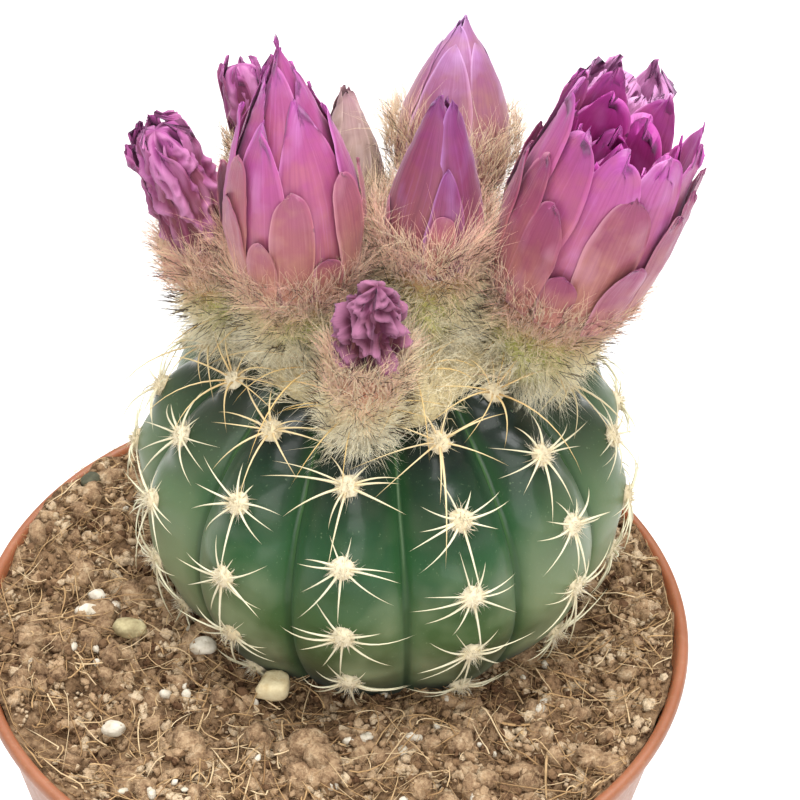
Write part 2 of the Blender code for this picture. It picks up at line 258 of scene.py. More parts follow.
def pot_outline():
    """Out along the foot, round its corner, up the wall, over the bead and back down inside to the floor."""
    corner = np.linspace(0, math.pi / 2, 6)
    foot = [FOOT_RADIUS - FOOT_ROUNDING * (1 - np.sin(corner)), FOOT_ROUNDING * (1 - np.cos(corner))]
    climb = np.linspace(FOOT_ROUNDING * 1.5, POT_HEIGHT - BEAD_HEIGHT * 1.15, 24)
    roll = np.linspace(0, math.pi, 12)
    top = pot_radius(POT_HEIGHT)
    bead = [top + BEAD_WIDTH * np.sin(roll) ** 0.8, POT_HEIGHT - BEAD_HEIGHT * (1 + np.cos(roll)) / 2]
    lip = [[top - WALL * 0.6, top - WALL], [POT_HEIGHT, POT_HEIGHT - 0.5 * MM]]
    drop = np.linspace(POT_HEIGHT - 1.5 * MM, FLOOR, 20)
    middle, floor = [[20 * MM], [0]], [[20 * MM], [FLOOR]]
    stretches = (middle, foot, [pot_radius(climb), climb], bead, lip, [pot_radius(drop) - WALL, drop], floor)
    return np.concatenate([np.transpose(each) for each in stretches])


terracotta = Finish("terracotta plastic", Specular_IOR_Level=0.5, Subsurface_Weight=0.05)
mottle = terracotta.noise(9 * MM, 4)
dust = terracotta.noise(1.1 * MM, 5, 0.7)
clay = terracotta.ramp(mottle, (0.3, (136, 82, 54)), (0.7, (152, 96, 68)))
terracotta.colour(terracotta.mix(terracotta.span(dust, 0.55, 0.78, 0, 0.35), clay, (176, 136, 102)))
terracotta.rough(terracotta.span(dust, 0.3, 0.7, 0.34, 0.52))
terracotta.bump(terracotta.noise(0.35 * MM, 3), 0.05 * MM, 0.5)

pot = skins("pot_shell", (0, 0, 0), turned(pot_outline(), 192)[None], (0, 0, FLOOR), terracotta)
for number in range(DRAIN_HOLES):
    turn = 2 * math.pi * (number + 0.42) / DRAIN_HOLES
    place = (DRAIN_CIRCLE * math.cos(turn), DRAIN_CIRCLE * math.sin(turn), 0)
    bpy.ops.mesh.primitive_cylinder_add(vertices=32, radius=DRAIN_RADIUS, depth=4 * FLOOR, location=place)
    drill = bpy.context.object
    cut = pot.modifiers.new("Drain hole", "BOOLEAN")
    cut.operation, cut.solver, cut.object = "DIFFERENCE", "EXACT", drill
    with bpy.context.temp_override(object=pot, active_object=pot):
        bpy.ops.object.modifier_apply(modifier=cut.name)
    bpy.data.objects.remove(drill)
hold(pot, "terracotta_plastic", "pot")

# --- Soil --------------------------------------------------------------------------------------------
# Dry peat mix that fills the pot nearly to its rim: crumbs and clods heaped a little to the left, with
# straw-coloured fibres and rootlets lying on top. It is poured in loose, and grips the plant's root.

SOIL_LEVEL = POT_HEIGHT - 2.3 * MM
SOIL_HEAP = 1.6 * MM
SOIL_BANK = 1.5 * MM
GLOBE_CENTRE = np.array([6.3, 13.2, 102.6]) * MM
GLOBE_RADIUS = 36.0 * MM
luck = np.random.default_rng(52)


def speckle(points, size, seed):
    """Smooth noise from -1 to 1: a scrambled value at each corner of a lattice, blended by a smooth step."""
    cell = np.asarray(points) / size
    base = np.floor(cell).astype(np.int64)
    part = cell - base
    part = part * part * (3 - 2 * part)
    total = 0.0
    for corner in np.ndindex(2, 2, 2):
        key = (base + corner) @ np.array([73856093, 19349663, 83492791]) + seed * 2654435761
        key = (key ^ (key >> 13)) * 1274126177 & 0x7FFFFFFF
        value = (key ^ (key >> 15)) % 65536 / 32767.5 - 1
        total = total + value * np.prod(np.where(corner, part, 1 - part), -1)
    return total


def soil_height(x, y):
    """The broad surface: a heap at the back left, rises round the plant and along the wall, and slow waves."""
    back_left = np.clip((0.5 * y - 0.85 * x) / RIM_RADIUS, -0.3, 1)
    away = np.hypot(x - GLOBE_CENTRE[0], y - GLOBE_CENTRE[1]) / GLOBE_RADIUS
    rise = 1.3 * MM * np.exp(-((away / 1.05) ** 4))
    waves = 0.45 * MM * (np.sin(x * 160 + y * 90) + np.sin(y * 210 - x * 70 + 1.3))
    bank = SOIL_BANK * np.clip(np.hypot(x, y) / RIM_RADIUS * 5 - 3.8, 0, 1) ** 2
    return SOIL_LEVEL + SOIL_HEAP * back_left + rise + waves + bank


def crumbly_height(x, y):
    """The broad surface with lumps of four sizes on it."""
    flat = np.stack([x, y, np.zeros_like(x)], -1) / MM
    sizes_and_depths = ((6.5, 1.6), (3.1, 1.4), (1.4, 0.5), (0.6, 0.22))
    lump = sum(depth * speckle(flat, size, seed) for seed, (size, depth) in enumerate(sizes_and_depths))
    return soil_height(x, y) + (lump - 0.5) * MM


def ball(polar, turn):
    """Points of a unit ball: polar is the angle from its top, turn the angle about the upright."""
    polar, turn = np.broadcast_arrays(polar, turn)
    return np.stack([np.sin(polar) * np.cos(turn), np.sin(polar) * np.sin(turn), np.cos(polar)], -1)


def unit(vectors):
    """Vectors made one long."""
    return vectors / np.linalg.norm(vectors, axis=-1, keepdims=True)


def any_turn(*shape):
    """Random turns."""
    return luck.uniform(0, 2 * np.pi, shape)


def tumble(count):
    """Random rotations: the orthogonal part of random 3 by 3 arrays."""
    spun, upper = np.linalg.qr(luck.normal(size=(count, 3, 3)))
    return spun * np.sign(np.linalg.det(spun))[:, None, None]


def lumps(name, centres, sizes, finish, rows=2, sides=5, wobble=0.2, rough=0.0):
    """Grains: rings of a ball, squashed, jolted at random and swollen by slow noise, each turned its own way."""
    count = len(centres)
    row = np.arange(rows)[:, None]
    ring = ball(np.pi * (row + 1) / (rows + 1), 2 * np.pi * (np.arange(sides) + row / 2) / sides) * [1, 1, -1]
    squash = np.stack([np.ones(count), luck.uniform(0.6, 1, count), luck.uniform(0.45, 0.95, count)], -1)
    spun = tumble(count)

    def settle(shape):
        """Squash, size, turn and place each grain's points."""
        each = (count, *[1] * (shape.ndim - 2), 3)
        shape = shape * (squash * sizes[:, None]).reshape(each)
        return np.einsum("n...i,nji->n...j", shape, spun) + centres.reshape(each)

    jolt = 1 + wobble * luck.normal(size=(count, rows, sides, 1))
    own = ring + 9.7 * np.arange(count)[:, None, None, None]
    jolt += rough * (speckle(own, 0.9, 71) + 0.6 * speckle(own, 0.4, 72))[..., None]
    poles = np.array([[0, 0, -1.0]]) * (1 + wobble * luck.normal(size=(count, 1)))
    caps = np.array([[0, 0, 1.0]]) * (1 + wobble * luck.normal(size=(count, 1)))
    return skins(name, settle(poles), settle(ring[None] * jolt), settle(caps), finish)


def strands(name, root, heading, length, radius, finish, bend=0.0, steps=3, sides=3, flat=1.0, shade=0.0,
            taper=0.75, spread=0.01, map_name="OFBake", fall=None):
    """Hairs and spines: each leaves its root along its heading, bends by a vector times the square of the way
    along, and narrows to a point. The ring's second radius is flat times the first.
    """
    count = len(root)
    way = (np.arange(steps + 1) / (steps + 1))[None, :, None]
    length = np.broadcast_to(length, (count,))[:, None, None]
    radius = np.broadcast_to(radius, (count,))[:, None, None]
    bend = np.broadcast_to(bend, (count, 3))[:, None]
    path = root[:, None] + length * (way * heading[:, None] + way**2 * bend)
    tip = root + length[:, 0] * (heading + bend[:, 0])
    if fall is not None:
        path, tip = fall(path), fall(tip)
    helper = np.where(np.abs(heading[:, 2:]) < 0.9, np.array([[0, 0, 1.0]]), np.array([[1.0, 0, 0]]))
    along = unit(heading[:, None] + 2 * way * bend)
    side = unit(np.cross(along, helper[:, None]))
    up = np.cross(side, along)
    turn = 2 * np.pi * np.arange(sides) / sides
    width = (radius * (1 - way) ** taper)[..., None]
    rings = path[:, :, None] + width * (
        np.cos(turn)[:, None] * up[:, :, None] * flat + np.sin(turn)[:, None] * side[:, :, None] * -1
    )
    return skins(name, path[:, 0], rings, tip, finish, shade, spread, map_name)


soil_finish = Finish("crumbly peat", Specular_IOR_Level=0.2)
grain = soil_finish.noise(1.6 * MM, 4, 0.65)
fine = soil_finish.noise(0.4 * MM, 3, 0.6)
# The surface is darker than the crumbs. It shows only in the gaps between them, and its darkness is partly peat
# tone and partly painted shade.
earth = soil_finish.ramp(
    grain, (0.32, (48, 34, 24)), (0.48, (108, 83, 60)), (0.62, (160, 132, 102)), (0.75, (196, 168, 136))
)
soil_finish.colour(soil_finish.mix(soil_finish.span(fine, 0.35, 0.7, 0, 0.5), earth, (120, 95, 68)))
soil_finish.rough(soil_finish.span(fine, 0.3, 0.7, 0.85, 1.0))
soil_finish.bump(fine, 0.4 * MM, 1.0)

SOIL_ROWS = 110
SOIL_SIDES = 340
soil_across, soil_away = compass(SOIL_SIDES)
reach = (pot_radius(SOIL_LEVEL) - WALL) * np.linspace(1, 1 / SOIL_ROWS, SOIL_ROWS)[:, None]
soil_x, soil_y = reach * soil_across, reach * soil_away
soil_top = np.stack([soil_x, soil_y, crumbly_height(soil_x, soil_y)], -1)
soil_foot = turned([(pot_radius(FLOOR) - WALL - 0.2 * MM, FLOOR + 0.2 * MM)], SOIL_SIDES)
soil = skins(
    "soil_surface",
    (0, 0, FLOOR + 0.2 * MM),
    np.concatenate([soil_foot, soil_top])[None],
    (0, 0, float(crumbly_height(np.zeros(1), np.zeros(1))[0])),
    soil_finish,
)
hold(soil, "peat_soil", "soil")


def scattered(count, margin=0.0, lowest=-9 * MM):
    """Random places on the soil, clear of the plant's foot and of the deepest hollows, with their heights."""
    turn = any_turn(count * 4)
    far = (pot_radius(SOIL_LEVEL) - WALL - margin) * np.sqrt(luck.uniform(0, 1, count * 4))
    x, y = far * np.cos(turn), far * np.sin(turn)
    free = np.hypot(x - GLOBE_CENTRE[0], y - GLOBE_CENTRE[1]) > 0.76 * GLOBE_RADIUS
    free &= crumbly_height(x, y) - soil_height(x, y) > lowest
    x, y = x[free][:count], y[free][:count]
    return np.stack([x, y, crumbly_height(x, y)], -1)


crumb_finish = Finish("peat crumb", Specular_IOR_Level=0.15)
cells = {"Vector": crumb_finish.place(), "Scale": 420.0}
tone = crumb_finish.node("ShaderNodeTexVoronoi", {"feature": "F1"}, cells, "Color")
tone = crumb_finish.node("ShaderNodeSeparateColor", None, {"Color": tone}, "Red")
pit = crumb_finish.noise(0.3 * MM, 3, 0.6)
crumb = crumb_finish.ramp(
    tone, (0.05, (92, 64, 46)), (0.35, (156, 125, 94)), (0.65, (194, 164, 130)), (0.95, (224, 202, 170))
)
crumb_finish.colour(crumb_finish.mix(crumb_finish.span(pit, 0.35, 0.7, 0, 0.45), crumb, (132, 104, 76)))
crumb_finish.rough(crumb_finish.span(pit, 0.3, 0.7, 0.85, 1.0))
crumb_finish.bump(crumb_finish.noise(0.5 * MM, 4, 0.65), 0.5 * MM, 1.0)

chunk_finish = Finish("peat chunk", Specular_IOR_Level=0.15, Roughness=0.95)
mass, speck = chunk_finish.noise(3 * MM, 5, 0.7), chunk_finish.noise(0.6 * MM, 4, 0.7)
peat_tones = ((0.36, (84, 60, 44)), (0.47, (158, 128, 98)), (0.56, (192, 162, 128)), (0.66, (218, 196, 164)))
chunk_finish.colour(chunk_finish.ramp(mass * 0.7 + speck * 0.3, *peat_tones))
chunk_finish.bump(speck, 0.7 * MM, 1.0)

# Crumbs, clods and chunks: how many, how far off the wall, the deepest hollow they lie in, the range of their
# sizes and its spread, how far they stand out, and their make. Lengths are in millimetres.
for name, count, margin, lowest, least, most, power, out, *make in (
    ("soil_crumbs", 6000, 0.6, -2.0, 0.3, 0.9, 2, 0.2, crumb_finish, 2, 5, 0.24, 0.0),
    ("soil_clods", 1300, 1.4, -1.8, 0.6, 1.2, 1, 0.3, crumb_finish, 3, 7, 0.1, 0.3),
    ("peat_chunks", 300, 2.4, -0.9, 1.2, 2.5, 1, 0.0, chunk_finish, 5, 8, 0.02, 0.42),
):
    spots = scattered(count, margin * MM, lowest * MM) + [0, 0, out * MM]
    sizes = (least + (most - least) * luck.uniform(0, 1, len(spots)) ** power) * MM
    hold(lumps(name, spots, sizes, *make), "peat_soil", "soil")

fibre_finish = Finish("peat fibre", Specular_IOR_Level=0.25, Roughness=0.8)
fibre_shade = fibre_finish.chart("OFBake")[1]
fibre_finish.colour(
    fibre_finish.ramp(fibre_shade, (0.0, (120, 88, 58)), (0.5, (186, 152, 108)), (1.0, (226, 204, 166)))
)


def lie_on_soil(path):
    """Lay a path on the soil: its own height counts from the crumbly surface, and it stays inside the pot."""
    far = np.hypot(path[..., 0], path[..., 1])
    inside = np.minimum(1, (pot_radius(SOIL_LEVEL) - WALL - 0.4 * MM) / far)
    x, y = path[..., 0] * inside, path[..., 1] * inside
    return np.stack([x, y, crumbly_height(x, y) * 0.5 + soil_height(x, y) * 0.5 + path[..., 2]], -1)


def fibres(name, count, longest, thickest, flat, lift, tints, curl=0.35, steps=7, sides=5):
    """Loose fibres that lie on the soil in every direction, each with its own bend."""
    spots = scattered(count)
    spots[:, 2] = luck.uniform(0.2, lift / MM, len(spots)) * MM
    turn = any_turn(len(spots))
    heading = np.stack([np.cos(turn), np.sin(turn), luck.uniform(-0.02, 0.06, len(spots))], -1)
    bend = luck.normal(size=(len(spots), 3)) * [curl, curl, 0.05]
    length = luck.uniform(0.25, 1, len(spots)) * longest
    radius = luck.uniform(0.4, 1, len(spots)) * thickest
    shade = luck.uniform(*tints, len(spots))
    piece = strands(name, spots, heading, length, radius, fibre_finish, bend, steps, sides, flat, shade, 0.35,
                    fall=lie_on_soil)
    hold(piece, "peat_soil", "soil")


fibres("soil_rootlets", 170, 13 * MM, 0.1 * MM, 1.0, 1.6 * MM, (0.3, 0.9), 0.7)
fibres("soil_straws", 40, 7 * MM, 0.36 * MM, 0.35, 1.2 * MM, (0.2, 0.7))
fibres("soil_shreds", 900, 5.0 * MM, 0.17 * MM, 0.6, 2.4 * MM, (0.1, 0.95), 1.0, 4, 4)
fibres("soil_fuzz", 4200, 2.0 * MM, 0.06 * MM, 1.0, 2.6 * MM, (0.05, 0.7), 1.3, 2, 3)

# Grains of white mineral, a beige stone and a cream chip, dropped on the soil.
STONE_TINTS = {
    "white": ((216, 208, 192), (176, 164, 142)),
    "beige": ((190, 178, 138), (138, 124, 90)),
    "cream": ((240, 226, 186), (214, 192, 146)),
    "dark": ((92, 92, 74), (58, 58, 46)),
}


def stone_finish(tint):
    """Matte mineral, mottled between a light and a dark tone, with fine pits."""
    light, dark = STONE_TINTS[tint]
    finish = Finish(tint + " mineral", Specular_IOR_Level=0.3)
    cloud, pits = finish.noise(1.4 * MM, 4), finish.noise(0.25 * MM, 3)
    finish.colour(finish.ramp(cloud, (0.3, dark), (0.6, light)))
    finish.rough(finish.span(pits, 0.3, 0.7, 0.7, 0.95))
    finish.bump(pits, 0.12 * MM, 0.8)
    return finish


def stone(name, node, low, high, finish, slot, power=1.0):
    """One worn grain: a ball stretched to a box, boxier the lower the power, with facets and unevenness."""
    low, high = np.array(low), np.array(high)
    whole = ball(np.linspace(0, np.pi, 18)[1:-1, None], 2 * np.pi * np.arange(24) / 24) * [1, 1, -1]
    whole = np.sign(whole) * np.abs(whole) ** power
    centre = (low + high) / 2
    facets = unit(np.random.default_rng(int(abs(centre[0]) * 1e6)).normal(size=(9, 3)))
    planed = np.minimum(1, 0.8 / np.maximum(whole @ facets.T, 0.1).max(-1))
    lie = whole + centre / MM
    swell = planed * (1.08 + 0.14 * speckle(lie, 0.8, 4) + 0.05 * speckle(lie, 0.25, 5))
    rings = centre - [0, 0, 0.6 * MM] + whole * swell[..., None] * (high - low) / 2
    hold(skins(name, rings[0].mean(0), rings[None], rings[-1].mean(0), finish), slot, node)


white = stone_finish("white")
for number in range(1, 5):
    node = f"white_grain_{number}"
    stone(f"white_mineral_{number}", node, *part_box(node), white, "white_mineral")
low, high = (np.array(corner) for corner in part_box("beige_stone"))
middle, half = (low + high) / 2, (high - low) / 2 * [0.95, 0.66, 0.75]
stone("beige_pebble", "beige_stone", middle - half, middle + half, stone_finish("beige"), "beige_stone")
stone("cream_flake", "cream_chip", *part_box("cream_chip"), stone_finish("cream"), "beige_stone", 0.55)
# A dark pebble at the back left and small pale grains all over, which count as part of the soil.
PEBBLE = np.array([-40.3, 25.3]) * MM
pebble = np.append(PEBBLE, soil_height(*PEBBLE) + 1.4 * MM)
stone("dark_pebble", "soil", pebble - 1.7 * MM, pebble + 1.5 * MM, stone_finish("dark"), "peat_soil")
spots = scattered(60, 3 * MM, -0.5 * MM) + [0, 0, 0.7 * MM]
grains = lumps("pale_grains", spots, luck.uniform(0.45, 1.0, len(spots)) * MM, white, 6, 10, 0.05, 0.25)
hold(grains, "peat_soil", "soil")

# --- Cactus body -------------------------------------------------------------------------------------
# One grown globe with thirteen broad ribs, glossy and dark near the crown, paler and duller towards the
# soil, with a grey bloom in patches and a painted pale sheen on its left and right sides. Down each groove
# run a painted shadow line and a fine painted highlight line. It roots in the soil.

RIBS = 13
RIB_PITCH = 2 * math.pi / RIBS
FIRST_RIB = math.radians(20.9)
CROWN_HEIGHT = 27 * MM
KEEL_DEPTH = 34 * MM
LEAN = Matrix.Rotation(math.radians(-2.7), 3, "Y")
AREOLE_SPACING = 10.6 * MM
TOP_AREOLES = np.array([24.5, 28, 21, 25, 27, 22, 26, 27, 22, 25, 27, 24.5, 19.5]) * MM
GLOBE_STEPS = 26


def in_pot(points):
    """From the globe's own upright frame to the pot's: leaned to the left and set off the pot's middle."""
    return np.asarray(points) @ np.array(LEAN).T + GLOBE_CENTRE


latitudes = np.radians(np.linspace(-62, 89, 160))
crest_radius = GLOBE_RADIUS * np.cos(latitudes)
crest_height = np.where(latitudes > 0, CROWN_HEIGHT, KEEL_DEPTH) * np.sin(latitudes)
crest_arc = np.concatenate([[0], np.cumsum(np.hypot(np.diff(crest_radius), np.diff(crest_height)))])
crest_arc -= np.interp(0, latitudes, crest_arc)


def rib_shape(azimuth, latitude):
    """The body's radius as a share of the crest's: round deep lobes near the crown, broad flat ribs below."""
    high = np.clip((np.degrees(latitude) + 25) / 75, 0, 1)
    high = high * high * (3 - 2 * high)
    depth = 0.055 + 0.125 * high
    power = 0.42 + 0.55 * high
    across = np.abs(np.cos((azimuth - FIRST_RIB) / RIB_PITCH * math.pi))
    return 1 - depth * (1 - across**power)


def areole_arcs(rib):
    """How far above the equator one rib's areoles are, from the young ones in the wool down to the soil."""
    arcs = TOP_AREOLES[rib] + AREOLE_SPACING * np.arange(1, -6, -1)
    return arcs[(arcs < 37 * MM) & (arcs > -24 * MM)]


def body_surface():
    """Rings of the globe: crest radius times the rib shape, swollen at each areole and notched above it."""
    azimuth = FIRST_RIB + np.arange(RIBS * GLOBE_STEPS) * RIB_PITCH / GLOBE_STEPS
    lie, turn = np.meshgrid(latitudes, azimuth, indexing="ij")
    radius = crest_radius[:, None] * rib_shape(turn, lie)
    rib = np.round((turn - FIRST_RIB) / RIB_PITCH)
    off = (turn - FIRST_RIB - rib * RIB_PITCH) * np.maximum(radius, MM)
    arc = np.broadcast_to(crest_arc[:, None], turn.shape)
    for number in range(RIBS):
        on = rib.astype(int) % RIBS == number
        for centre in areole_arcs(number):
            rise = np.exp(-(((arc - centre) / (3.6 * MM)) ** 2) - (off / (4.5 * MM)) ** 2)
            notch = np.exp(-(((arc - centre - 5.0 * MM) / (2.2 * MM)) ** 2) - (off / (6 * MM)) ** 2)
            upper = np.clip((centre + 5 * MM) / (20 * MM), 0, 1)
            radius = radius + on * (0.5 * MM * rise - 0.9 * MM * upper * notch)
    level = np.broadcast_to(crest_height[:, None], turn.shape)
    even = np.stack([radius * np.sin(turn), -radius * np.cos(turn), level], -1)
    radius = radius + 0.22 * MM * speckle(even, 7 * MM, 11) + 0.06 * MM * speckle(even, 2.2 * MM, 12)
    return np.stack([radius * np.sin(turn), -radius * np.cos(turn), level], -1)


skin = Finish("cactus skin", Specular_IOR_Level=0.24, Subsurface_Weight=0.06, Subsurface_Scale=2 * MM,
                     Coat_Roughness=0.14, Sheen_Weight=0.05, Sheen_Roughness=0.5)
groove = abs(skin.chart("Along")[1].math("FRACT") - 0.5) * 2
side, _, height = skin.parts(skin.place())
patch = skin.noise(13 * MM, 3, 0.5)
flecks = skin.noise(0.45 * MM, 2, 0.5)
level = skin.span(height + patch * (6 * MM), 88 * MM, 128 * MM)
green = skin.ramp(
    level, (0.0, (36, 46, 28)), (0.17, (70, 80, 46)), (0.36, (66, 92, 50)), (0.62, (36, 76, 42)),
    (0.9, (8, 26, 16))
)
# Painted sheen: the body's left and right sides, as the camera sees them, are mixed towards the pale bloom colour
# along with the real bloom patches.
painted_side_sheen = skin.span(abs(side - float(GLOBE_CENTRE[0])), 13 * MM, 30 * MM, 0, 0.32)
bloom_and_side_sheen = skin.span(patch + painted_side_sheen, 0.5, 0.72, 0, 0.68) * skin.span(height, 92 * MM, 118 * MM, 1.0, 0.1)
bloom_and_side_sheen = bloom_and_side_sheen * skin.span(height, 84 * MM, 91 * MM, 0.2, 1)
green = skin.mix(bloom_and_side_sheen, green, (150, 160, 124))
green = skin.mix(skin.span(flecks, 0.67, 0.78, 0, 0.25), green, (150, 172, 130))
valley = skin.span(groove, 0.3, 0.04, 0, 0.45)
green = skin.mix(valley, green, (40, 84, 40))
shadow_line = skin.span(groove, 0.09, 0.03, 0, 0.5)
green = skin.mix(shadow_line, green, (22, 46, 26))
# Painted highlight: a light green line along the bottom of each groove, stronger near the crown.
crease = skin.span(groove, 0.045, 0.0, 0, 0.36) * skin.span(height, 94 * MM, 116 * MM, 0.1, 1)
green = skin.mix(crease, green, (92, 132, 68))
skin.colour(green)
skin.rough(skin.span(level, 0, 1, 0.5, 0.28) + skin.span(patch, 0.3, 0.7, -0.04, 0.1))
skin.put(skin.shader.inputs["Coat Weight"], skin.span(level, 0.2, 0.8, 0.0, 0.25))
skin.bump(skin.noise(0.8 * MM, 3, 0.5), 0.06 * MM, 0.5)

body_rings = body_surface()
root_outline = [(2.5 * MM, -KEEL_DEPTH - 22 * MM), (5 * MM, -KEEL_DEPTH - 8 * MM)]
root_rings = turned(root_outline, RIBS * GLOBE_STEPS)
body = skins(
    "ribbed_body",
    in_pot((0, 0, -KEEL_DEPTH - 23 * MM)),
    in_pot(np.concatenate([root_rings, body_rings]))[None],
    in_pot((0, 0, CROWN_HEIGHT)),
    skin,
    spread=RIBS,
)
hold(body, "cactus_skin", "cactus_body")

# --- Areoles and spines ------------------------------------------------------------------------------
# Down each rib's crest sits a row of small cushions of short cream wool. Each bears eight to ten cream
# spines that spread flat over the ribs, the lowest one long enough to reach the next cushion.

CUSHION = np.array([1.6, 1.6, 1.1]) * MM  # its half widths and its height
CUSHION_HAIRS = 130
# Turns of a cushion's spines from straight up, in degrees, each with its length in millimetres.
SPINES = np.array(
    ((-16, 6), (32, 5), (-64, 7.5), (70, 8), (-88, 8.5), (92, 8.5), (-112, 8), (118, 7.5), (-152, 8.5), (180, 11))
)

spine_finish = Finish("cream spine", Specular_IOR_Level=0.4, Roughness=0.42)
spine_way, spine_age = spine_finish.chart("OFBake")
old = spine_finish.ramp(spine_way, (0.0, (222, 206, 164)), (0.4, (230, 224, 196)), (1.0, (210, 204, 170)))
young = spine_finish.ramp(spine_way, (0.0, (198, 152, 84)), (0.5, (222, 192, 128)), (1.0, (208, 168, 94)))
spine_finish.colour(spine_finish.mix(spine_age, old, young))

wool_finish = Finish("short cream wool", Specular_IOR_Level=0.15, Roughness=0.9, Sheen_Weight=0.3)
tuft_shade = wool_finish.chart("OFBake")[1]
wool_finish.colour(
    wool_finish.ramp(tuft_shade, (0.0, (210, 192, 154)), (0.45, (228, 216, 186)), (1.0, (240, 234, 214)))
)


def crest_frame(rib, arc):
    """Points on a rib's crest with their outward, upward and sideways directions, in the pot's frame."""
    azimuth = FIRST_RIB + rib * RIB_PITCH
    outward = np.array([math.sin(azimuth), -math.cos(azimuth), 0])
    sideways = np.array([math.cos(azimuth), math.sin(azimuth), 0])

    def crest(arcs):
        radius, height = (np.interp(arcs, crest_arc, each)[:, None] for each in (crest_radius, crest_height))
        return radius * outward + height * [0, 0, 1]

    slope = unit(crest(arc + MM) - crest(arc))
    normal = np.cross(sideways, slope)
    lean = np.array(LEAN).T
    across = np.broadcast_to(sideways @ lean, slope.shape)
    return in_pot(crest(arc) + 0.35 * MM * normal), normal @ lean, slope @ lean, across


def above_soil(place, reach):
    """Which of these places clear the soil by a reach."""
    return place[:, 2] > soil_height(place[:, 0], place[:, 1]) + reach


for rib in range(RIBS):
    arcs = areole_arcs(rib)
    place, normal, upward, sideways = crest_frame(rib, arcs)
    shown = above_soil(place, 0.8 * MM)
    arcs, place, normal, upward, sideways = (each[shown] for each in (arcs, place, normal, upward, sideways))
    count = len(arcs)
    node = f"areole_row_{rib + 1:02d}"
    youth = np.clip((arcs - 16 * MM) / (14 * MM), 0, 1)

    local = np.stack([sideways, upward, normal], 1)
    dome = ball(np.linspace(0.12, 1, 7)[:, None] * np.pi / 2, 2 * np.pi * np.arange(16) / 16)[::-1]
    dome = dome * (1 + 0.07 * luck.normal(size=(count, 7, 16, 1))) * CUSHION
    rings = place[:, None, None] + np.einsum("nrsi,nij->nrsj", dome, local)
    cushion = skins(f"cushions_{rib + 1:02d}", place - 0.3 * MM * normal, rings[:, :, ::-1],
                    place + CUSHION[2] * normal, wool_finish, luck.uniform(0.1, 0.5, count), 0.02, "OFBake")
    hold(cushion, "areole_wool_and_spines", node)

    hairs = count * CUSHION_HAIRS
    lift = luck.uniform(0, 1, (count, CUSHION_HAIRS)) ** 0.7 * np.pi / 2
    spread = ball(lift, any_turn(count, CUSHION_HAIRS))
    heading = np.einsum("nti,nij->ntj", spread, local).reshape(-1, 3)
    root = (place[:, None] + np.einsum("nti,nij->ntj", spread * CUSHION, local) * 0.85).reshape(-1, 3)
    tuft = strands(f"cushion_wool_{rib + 1:02d}", root, heading, luck.uniform(0.5, 1.6, hairs) * MM, 0.055 * MM,
                   wool_finish, luck.normal(size=(hairs, 3)) * 0.35, 1, shade=luck.uniform(0, 0.98, hairs))
    hold(tuft, "areole_wool_and_spines", node)

    shape = (count, len(SPINES))
    young = youth[:, None]
    angle = np.radians(SPINES[:, 0] + luck.normal(size=shape) * 7)
    length = SPINES[:, 1] * MM * luck.uniform(0.7, 1.2, shape) * (1 + 0.95 * young)
    flat = np.sin(angle)[..., None] * sideways[:, None] + np.cos(angle)[..., None] * upward[:, None]
    raised = luck.uniform(0.22, 0.42, (*shape, 1)) + 0.35 * young[..., None]
    heading = flat * (1 - 0.3 * raised) + normal[:, None] * raised
    droop = -normal[:, None] * (raised * 0.9 + 0.05) + luck.normal(size=heading.shape) * 0.09
    droop[:, -1] = -normal * raised[:, -1] * 0.95
    root = place[:, None] + 0.45 * MM * normal[:, None] + flat * 0.5 * MM
    age = young * 0.9 + luck.uniform(0, 0.08, shape)
    thick = (0.25 - 0.06 * young) * luck.uniform(0.75, 1.1, shape) * MM
    root, heading, droop = (each.reshape(-1, 3) for each in (root, heading, droop))
    spine = strands(f"spines_{rib + 1:02d}", root, heading, length.ravel(), thick.ravel(), spine_finish, droop,
                    7, 5, 0.8, age.ravel(), 0.8)
    hold(spine, "areole_wool_and_spines", node)

# --- Crown wool ---------------------------------------------------------------------------------------
# A cushion of long soft wool over the crown, cream with a little tan, which the plant grows from its
# youngest areoles. The flowers come up through it.

WOOL_REACH = 19.5 * MM
WOOL_THICKNESS = 3.6 * MM

fluff_finish = Finish("long soft wool", Specular_IOR_Level=0.12, Roughness=0.95, Sheen_Weight=0.6,
                      Sheen_Roughness=0.5, Sheen_Tint=(255, 250.46, 238.61))
fluff_way, fluff_shade = fluff_finish.chart("OFBake")
fluff = fluff_finish.ramp(
    fluff_shade,
    (0.0, (255, 249, 224)),
    (0.3, (248, 232, 188)),
    (0.5, (242, 214, 176)),
    (0.75, (234, 186, 164)),
    (1.0, (216, 156, 144)),
)
# Painted shade: the hairs darken towards their roots, deep in the wool.
painted_root_shade = fluff_finish.span(fluff_way, 0.35, 0.0, 0, 0.25)
fluff_finish.colour(fluff_finish.mix(painted_root_shade, fluff, (190, 160, 120), "MULTIPLY"))
bristle_finish = Finish("dark bristle", Base_Color=(60, 38, 26), Roughness=0.5, Specular_IOR_Level=0.3)


def core_finish(name, *bands):
    """The felted wool next to the skin: bands of colour along the piece, broken up by fine noise."""
    finish = Finish(name, Specular_IOR_Level=0.1, Roughness=1.0)
    felt = finish.noise(0.7 * MM, 3, 0.7)
    finish.colour(finish.ramp(finish.chart("Along")[0] + (felt - 0.5) * 0.35, *bands))
    finish.bump(felt, 0.4 * MM, 0.8)
    return finish


